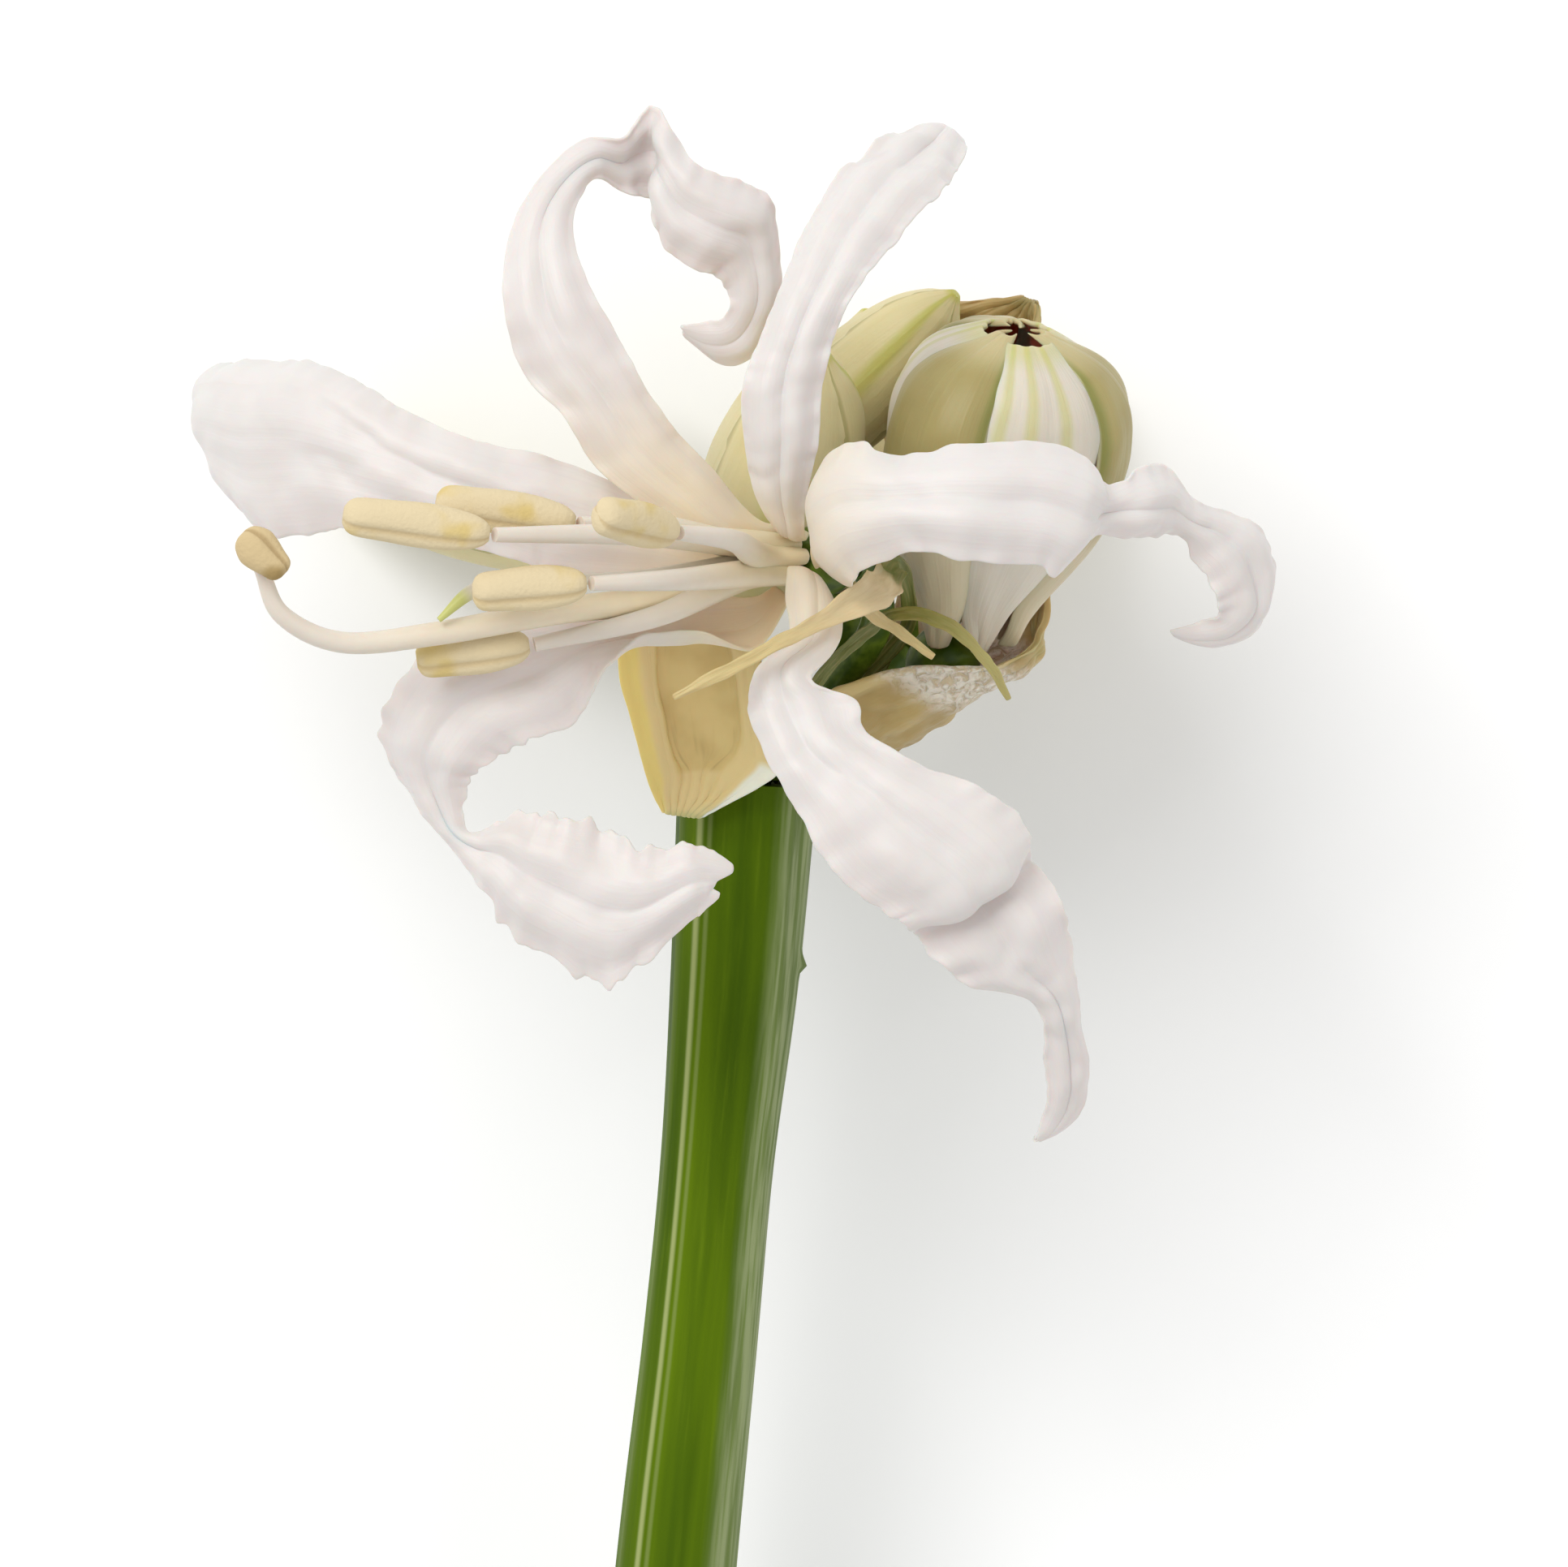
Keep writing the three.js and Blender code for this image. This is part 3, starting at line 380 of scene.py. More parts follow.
# Painted highlights: a band across the back valve is painted silver-white, broken up by its wrinkles, where its glossy
# tissue catches the light.
glint_reach = smooth_range(back_bract, along, 0.3, 0.35)
glint_leave = smooth_range(back_bract, along, 0.52, 0.44)
glint_share = calculate(back_bract, "MULTIPLY", glint_reach, glint_leave)
wrinkle_place = add_node(back_bract, "TexCoord").outputs["Object"]
wrinkles = add_node(
    back_bract, "TexNoise", None, Vector=wrinkle_place, Scale=1300.0, Detail=4.0, Distortion=1.2
).outputs["Fac"]
glint_wrinkle_share = smooth_range(back_bract, wrinkles, 0.34, 0.58, 0.35, 1)
glint_share = calculate(back_bract, "MULTIPLY", glint_share, glint_wrinkle_share)
colour = blend_colour(back_bract, glint_share, colour, (0.76, 0.69, 0.58, 1))
height = calculate(back_bract, "ADD", veins, calculate(back_bract, "MULTIPLY", glint_share, wrinkles))
link_finish(back_bract, shader, colour, height, 0.8)
for valve, finish, node_name in (
    (front_valve, front_bract, "spathe_valve_front"),
    (back_valve, back_bract, "spathe_valve_back"),
):
    valve.data.materials.append(finish)
    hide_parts(node_name)
    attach(valve, "root")

# Each flower and bud stands on a pedicel, a short round green stalk from the scape's top, and on an ovary, a glossy
# three-sided green knob that its tepals grow from. The pedicels fan out from one crowded ring.
SEAT_GAP = 0.35
PEDICEL_RADIUS = 1.1
PEDICEL_RING = 3.1
PEDICEL_STRAIGHT = 1.2
OVARY_LENGTH = 4.6
OVARY_RADIUS = 2.4
SCAPE_TOP = Vector((0.1, 1.6, 26.1))
SCAPE_TOP_DIRECTION = Vector((0.066, 0.995, 0.075)).normalized()
THROAT = Vector((3.2, 16.4, 46))
FLOWER_AXIS = Vector((-0.75, 0, 0.66)).normalized()
HALF_OPEN_BASE = Vector((15, 11.4, 31.6))
HALF_OPEN_TIP = Vector((18.6, 32.2, 40.8))
# Foot angle round the scape and its ring, bend, and the base, tip and radius of each closed bud.
CLOSED_BUDS = [
    (0, 0, (-0.8, 10, 23.4), (0.8, 22.4, 23.6), (14.4, 35, 31.5), 3.9),
    (122, PEDICEL_RING, (-2.2, 6.4, 28.2), (-0.6, 13.6, 29.8), (5.2, 30.6, 43.4), 5.2),
    (186, PEDICEL_RING, (-5, 7, 22.8), (-10, 17.4, 15.2), (-31, 24.4, 0.4), 3.5),
    (330, PEDICEL_RING, (6.6, 6, 20.6), (13.2, 14, 14.4), (24.4, 31, 0.5), 4.2),
    (236, PEDICEL_RING, (-1.8, 5.4, 19.8), (-2.8, 13.4, 15.2), (-9.6, 29.6, 7.2), 3.0),
    (284, PEDICEL_RING, (4, 5, 19.2), (6.9, 14.6, 15.6), (8.4, 34.6, 10.5), 3.8),
]
glossy_green, shader = new_finish("glossy_green_ovary", Roughness=0.35, Specular_IOR_Level=0.2)
uv, around, along = uv_parts(glossy_green)
speckle_place = add_node(glossy_green, "TexCoord").outputs["Object"]
speckle = add_node(glossy_green, "TexNoise", None, Vector=speckle_place, Scale=700.0, Detail=3.0).outputs["Fac"]
colour = blend_colour(
    glossy_green, smooth_range(glossy_green, speckle, 0.35, 0.7), (0.035, 0.07, 0.004, 1), (0.1, 0.15, 0.012, 1)
)
link_finish(glossy_green, shader, colour, speckle, 0.2)


def ovary_girth(turn, share):
    return 1 + 0.07 * math.cos(3 * turn)


def pedicel_girth(turn, share):
    return 1 + 0.04 * math.cos(5 * turn) + 0.12 * (2 * share - 1) ** 4


def add_pedicel_and_ovary(name, angle, ring, bend, flower_base, direction):
    """A pedicel from the scape's top over one bend to the ovary under that base."""
    right = SCAPE_TOP_DIRECTION.cross(Vector((0, 0, 1))).normalized()
    top = right.cross(SCAPE_TOP_DIRECTION)
    turn = math.radians(angle)
    start = SCAPE_TOP + SCAPE_TOP_DIRECTION * SEAT_GAP
    start += (right * math.cos(turn) + top * math.sin(turn)) * ring
    ovary_top = flower_base - direction * SEAT_GAP
    ovary_foot = ovary_top - direction * OVARY_LENGTH
    pedicel_end = ovary_foot - direction * SEAT_GAP
    swell = [(0, 0.5), (0.08, 0.68), (0.25, 0.9), (0.5, 1), (0.78, 0.94), (0.95, 0.72), (1, 0.6)]
    ovary_rows = [[*ovary_foot.lerp(ovary_top, rise), size * OVARY_RADIUS] for rise, size in swell]
    ovary = round_piece(f"{name}_ovary_knob", ovary_rows, 30, 22, ovary_girth)
    route = [
        start,
        start + SCAPE_TOP_DIRECTION * PEDICEL_STRAIGHT,
        Vector(bend),
        pedicel_end - direction * PEDICEL_STRAIGHT,
        pedicel_end,
    ]
    pedicel_rows = [[*point, PEDICEL_RADIUS] for point in route]
    pedicel = round_piece(f"{name}_flower_stalk", pedicel_rows, 20, 44, pedicel_girth, (1, 0, 0))
    for piece, node_name in ((ovary, f"{name}_ovary"), (pedicel, f"{name}_pedicel")):
        piece.data.materials.append(glossy_green)
        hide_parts(node_name)
        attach(piece, "root")


add_pedicel_and_ovary("open_flower", 72, PEDICEL_RING, (8.6, 11.4, 36.6), THROAT, FLOWER_AXIS)
half_open_direction = Vector((0.62, 0.66, 0.4)).normalized()
add_pedicel_and_ovary("half_open_bud", 20, PEDICEL_RING, (6.8, 5.2, 28.8), HALF_OPEN_BASE, half_open_direction)
for number, (angle, ring, bend, base, tip, radius) in enumerate(CLOSED_BUDS, 1):
    direction = (Vector(tip) - Vector(base)).normalized()
    add_pedicel_and_ovary(f"closed_bud_{number}", angle, ring, bend, Vector(base), direction)

# Bracteoles are thread-like bracts among the pedicels, cream to pale green, thin and dry. One is a longer strap
# that crosses in front of the flower's throat.
BRACTEOLES = [
    [
        [3.1, 2.5, 28.7, 0.7],
        [6.4, 6.8, 30.8, 0.9],
        [11, 12, 34.8, 1],
        [10.4, 16, 43.4, 1.2],
        [9.6, 15.2, 48.6, 2.2],
        [8.6, 14.3, 51.4, 2.8],
        [5, 12.2, 55.2, 1.2],
        [2, 10.6, 57.6, 0.9],
        [-1.4, 8.8, 58.4, 0.9],
        [-4.8, 7.1, 58.4, 0.4],
    ],
    [
        [0.6, 2.5, 31.2, 0.7],
        [2.8, 8, 37, 0.8],
        [6.6, 13.2, 46.2, 0.9],
        [9.6, 12.1, 47.6, 0.8],
        [12.7, 9.9, 47.4, 0.5],
    ],
    [
        [-4, 2.4, 27.4, 0.8],
        [-6.6, 9, 26.4, 0.9],
        [-7.8, 17, 25.4, 0.7],
        [-6.2, 22, 26.4, 0.4],
    ],
    [
        [4.3, 2.4, 25.2, 0.8],
        [9, 9, 25.4, 0.9],
        [11.4, 17, 26.4, 0.7],
        [10.4, 22, 29, 0.4],
    ],
    [
        [1.9, 2.5, 30.6, 0.7],
        [4.8, 8.2, 37.6, 0.8],
        [8.4, 11.8, 44.2, 0.9],
        [10.6, 12.9, 46.4, 0.9],
        [13.6, 12.1, 46.8, 0.9],
        [16.4, 9.6, 45.6, 0.7],
        [17.8, 7.1, 43.6, 0.4],
    ],
]
BRACTEOLE_THICKNESS = 0.35


def bracteole_point(rows, share, t):
    x, y, z, width = rows_at(rows, share)
    along = direction_at(rows, share)
    across = Vector((0, 0, 1)).cross(along).normalized()
    face = along.cross(across)
    middle = Vector((x, y, z))
    fray = 1 + 0.45 * noise.noise(middle * 0.9 + Vector((0, 0, 2 * t)))
    fold = width * (0.2 * t * t + 0.3 * noise.noise(middle * 0.6 + across * t))
    return middle + across * (t * width / 2 * fray) + face * fold


def thread_finish(name, middle_colour, tip_colour):
    """Thin dry tissue with fine fibres, dark green in its lower part and paler towards its tip."""
    finish, shader = new_finish(name, Roughness=0.5, Subsurface_Weight=0.15, Subsurface_Scale=0.001)
    uv, across, along = uv_parts(finish)
    fibre_place = add_node(finish, "Mapping", None, Vector=uv, Scale=(6, 14, 1)).outputs["Vector"]
    fibre = add_node(finish, "TexNoise", None, Vector=fibre_place, Scale=1.0, Detail=3.0).outputs["Fac"]
    colour = blend_colour(finish, smooth_range(finish, along, 0.55, 0.85), middle_colour, tip_colour)
    colour = blend_colour(finish, smooth_range(finish, along, 0.42, 0.5), (0.12, 0.14, 0.02, 1), colour)
    colour = blend_colour(finish, smooth_range(finish, fibre, 0.45, 0.7, 0, 0.3), colour, (0.42, 0.32, 0.14, 1))
    link_finish(finish, shader, colour, fibre, 0.3)
    return finish


tan_thread = thread_finish("tan_thread_bract", (0.62, 0.5, 0.29, 1), (0.56, 0.45, 0.2, 1))
green_thread = thread_finish("green_thread_bract", (0.23, 0.22, 0.035, 1), (0.42, 0.38, 0.13, 1))
for number, rows in enumerate(BRACTEOLES, 1):
    thread = sheet_piece(
        f"thread_bract_{number}", lambda s, t, rows=rows: bracteole_point(rows, s, t), 6, 60, BRACTEOLE_THICKNESS
    )
    thread.data.materials.append(green_thread if number == len(BRACTEOLES) else tan_thread)
    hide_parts(f"bracteole_{number}")
    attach(thread, "root")

# Each closed bud is six tepals wrapped tight round one another, so that only three overlapping margins and three
# raised lime-green midveins show. It is cream-yellow, darker at its foot, and ends in a small green point.
BUD_SWELL = [0.42, 0.62, 0.88, 1.0, 0.93, 0.76, 0.5, 0.28, 0.1]
BUD_SHARE = [0.0, 0.08, 0.25, 0.48, 0.66, 0.81, 0.91, 0.96, 1.0]


def bud_girth(turn, share):
    place = (turn / math.tau * 3 + 0.35 * share + 0.325) % 1
    margin = 0.055 * (0.5 - place)
    ridge = 0.035 * math.exp(-(((place - 0.5) / 0.09) ** 2))
    return 1 + margin + ridge + 0.02 * math.sin(5 * turn + 9 * share)


def petal_finish(name, foot_colour, body_colour, shade_colour, **settings):
    """The finish of petal tissue: fine parallel veins, faint mottling, and a colour of its own at its foot."""
    finish, shader = new_finish(name, **settings)
    uv, across, along = uv_parts(finish)
    vein_place = add_node(finish, "Mapping", None, Vector=uv, Scale=(22, 1.3, 1)).outputs["Vector"]
    veins = add_node(finish, "TexNoise", None, Vector=vein_place, Scale=1.0, Detail=4.0).outputs["Fac"]
    grain_place = add_node(finish, "TexCoord").outputs["Object"]
    mottle = add_node(finish, "TexNoise", None, Vector=grain_place, Scale=140.0, Detail=3.0).outputs["Fac"]
    grain = add_node(finish, "TexNoise", None, Vector=grain_place, Scale=2600.0, Detail=2.0).outputs["Fac"]
    colour = blend_colour(finish, smooth_range(finish, along, 0.0, 0.27), foot_colour, body_colour)
    colour = blend_colour(finish, smooth_range(finish, mottle, 0.45, 0.7, 0, 0.4), colour, shade_colour)
    colour = blend_colour(finish, smooth_range(finish, veins, 0.5, 0.75, 0, 0.22), colour, shade_colour)
    height = calculate(finish, "ADD", veins, calculate(finish, "MULTIPLY", grain, 0.15))
    return finish, shader, across, along, colour, height


LIME = (0.48, 0.47, 0.09, 1)
SOFT_SETTINGS = {"Roughness": 0.5, "Subsurface_Weight": 0.3, "Subsurface_Scale": 0.0015, "Sheen_Weight": 0.08}
bud_cream, shader, around, along, colour, height = petal_finish(
    "cream_bud_skin", (0.5, 0.43, 0.18, 1), (0.66, 0.58, 0.31, 1), (0.57, 0.49, 0.21, 1), **SOFT_SETTINGS
)
turned = calculate(bud_cream, "MULTIPLY_ADD", along, 0.35, 0.825)
place = calculate(bud_cream, "FRACT", calculate(bud_cream, "ADD", calculate(bud_cream, "MULTIPLY", around, 3), turned))
from_vein = calculate(bud_cream, "ABSOLUTE", calculate(bud_cream, "SUBTRACT", place, 0.5))
vein_line = smooth_range(bud_cream, from_vein, 0.13, 0.02)
vein_reach = smooth_range(bud_cream, along, 0.1, 0.6, 0, 0.85)
colour = blend_colour(bud_cream, calculate(bud_cream, "MULTIPLY", vein_line, vein_reach), colour, LIME)
margin_line = smooth_range(bud_cream, place, 0.07, 0.02, 0, 0.6)
colour = blend_colour(bud_cream, margin_line, colour, (0.3, 0.27, 0.07, 1))
colour = blend_colour(bud_cream, smooth_range(bud_cream, along, 0.9, 0.99), colour, LIME)
link_finish(bud_cream, shader, colour, height, 0.35)
for number, (angle, ring, bend, base, tip, radius) in enumerate(CLOSED_BUDS, 1):
    bud_rows = [[*Vector(base).lerp(Vector(tip), share), size * radius] for share, size in zip(BUD_SHARE, BUD_SWELL)]
    bud = round_piece(f"wrapped_bud_{number}", bud_rows, 72, 60, bud_girth)
    bud.data.materials.append(bud_cream)
    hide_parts(f"closed_bud_{number}")
    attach(bud, "root")

# The half-open bud is six separate tepals round one axis, three outer and three inner, still cupped over one
# another with a small opening between their tips, and with lime midveins and green outer margins. The outer margins
# are drawn in onto the inner tepals, so that no slit shows between them.
# For each ring: how far its margins are drawn in, its angles from the front towards the right, and rows of the share
# of the axis, the radius and the width.
HALF_OPEN_RINGS = {
    "outer": (
        1.1, (94, 204, 320),
        [
            (0, 3.3, 1.6), (0.16, 4.6, 6), (0.4, 7.6, 10), (0.6, 8.6, 11),
            (0.78, 8.4, 10.2), (0.91, 6.4, 8.2), (1, 1.6, 2),
        ],
    ),
    "inner": (
        0.3, (26, 140, 262),
        [
            (0, 2.6, 1.2), (0.16, 3.6, 5.8), (0.4, 6.6, 10.2), (0.6, 7.6, 12.2),
            (0.77, 7.4, 11.8), (0.89, 6.1, 9.4), (0.99, 2.4, 5),
        ],
    ),
}
axis = HALF_OPEN_TIP - HALF_OPEN_BASE
direction = axis.normalized()
front = (Vector((0, 0, 1)) - direction * direction.z).normalized()
right = direction.cross(front)
bud_petal, shader, across, along, colour, height = petal_finish(
    "half_open_bud_petal", (0.56, 0.48, 0.36, 1), (0.66, 0.59, 0.49, 1), (0.55, 0.49, 0.42, 1), **SOFT_SETTINGS
)
vein_reach = smooth_range(bud_petal, along, 0.35, 0.6, 0, 0.5)
for vein_across in (0.17, 0.37, 0.62):
    from_vein = calculate(bud_petal, "ABSOLUTE", calculate(bud_petal, "SUBTRACT", across, vein_across))
    vein_line = smooth_range(bud_petal, from_vein, 0.07, 0.01)
    colour = blend_colour(bud_petal, calculate(bud_petal, "MULTIPLY", vein_line, vein_reach), colour, LIME)
colour = blend_colour(bud_petal, smooth_range(bud_petal, along, 0.9, 0.98, 0, 0.45), colour, LIME)
link_finish(bud_petal, shader, colour, height, 0.25)
# The outer tepals' dark olive is partly their own olive-green and partly painted shade.
olive_and_shaded_petal, shader, across, along, colour, height = petal_finish(
    "olive_and_shaded_outer_petal", (0.42, 0.34, 0.2, 1), (0.34, 0.28, 0.1, 1), (0.44, 0.37, 0.15, 1), **SOFT_SETTINGS
)
pale_foot = smooth_range(olive_and_shaded_petal, along, 0.46, 0.3)
colour = blend_colour(olive_and_shaded_petal, pale_foot, colour, (0.59, 0.5, 0.33, 1))
from_middle = calculate(olive_and_shaded_petal, "ABSOLUTE", calculate(olive_and_shaded_petal, "SUBTRACT", across, 0.5))
green_line = smooth_range(olive_and_shaded_petal, from_middle, 0.38, 0.46)
green_reach = smooth_range(olive_and_shaded_petal, along, 0.35, 0.6, 0, 0.8)
green_share = calculate(olive_and_shaded_petal, "MULTIPLY", green_line, green_reach)
colour = blend_colour(olive_and_shaded_petal, green_share, colour, (0.2, 0.21, 0.035, 1))
rim_share = calculate(olive_and_shaded_petal, "MULTIPLY", smooth_range(olive_and_shaded_petal, from_middle, 0.47, 0.49), green_reach)
colour = blend_colour(olive_and_shaded_petal, rim_share, colour, (0.52, 0.46, 0.3, 1))
colour = blend_colour(olive_and_shaded_petal, smooth_range(olive_and_shaded_petal, along, 0.84, 0.97, 0, 0.8), colour, (0.56, 0.48, 0.26, 1))
link_finish(olive_and_shaded_petal, shader, colour, height, 0.25)


def bud_tepal_point(rows, radial, tangential, seed, cling, share, t):
    x, y, z, width, radius = rows_at(rows, share)
    wrap = t * width / 2 / (radius + 0.6)
    ruffle = 0.2 * t * t * share * math.sin(17 * share + 2 * t + seed)
    crease = -0.22 * math.exp(-((t / 0.14) ** 2)) * share
    tuck = -cling * t ** 4 + 0.25 * noise.noise(Vector((3 * t, 7 * share, seed)))
    swell = radius + ruffle + crease + tuck
    return Vector((x, y, z)) + tangential * math.sin(wrap) * swell + radial * (math.cos(wrap) * swell - radius)


for ring_name, (cling, angles, sections) in HALF_OPEN_RINGS.items():
    for number, angle in enumerate(angles, 1):
        turn = math.radians(angle)
        radial = front * math.cos(turn) + right * math.sin(turn)
        tangential = direction.cross(radial)
        rows = [
            [*(HALF_OPEN_BASE + axis * share + radial * radius), width, radius]
            for share, radius, width in sections
        ]
        tepal = sheet_piece(
            f"cupped_tepal_{ring_name}_{number}",
            lambda s, t, a=rows, b=radial, c=tangential, d=number, e=cling: bud_tepal_point(a, b, c, d, e, s, t),
            26, 60, 0.45,
        )
        tepal.data.materials.append(olive_and_shaded_petal if ring_name == "outer" else bud_petal)
        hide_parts(f"half_open_bud_tepal_{ring_name}_{number}")
        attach(tepal, "root")

# The open flower's six tepals are narrow pearl-white straps that spring from the throat and arch, twist and curl
# back. Their margins are crisped and ragged, a groove runs down each middle, and their feet are cream.
FLOWER_TOP = Vector((0, 1, 0))
FLOWER_RIGHT = FLOWER_TOP.cross(FLOWER_AXIS)
TEPAL_RING = 2.3
TEPAL_FOOT_WIDTH = 1.9
TEPAL_THICKNESS = 0.5
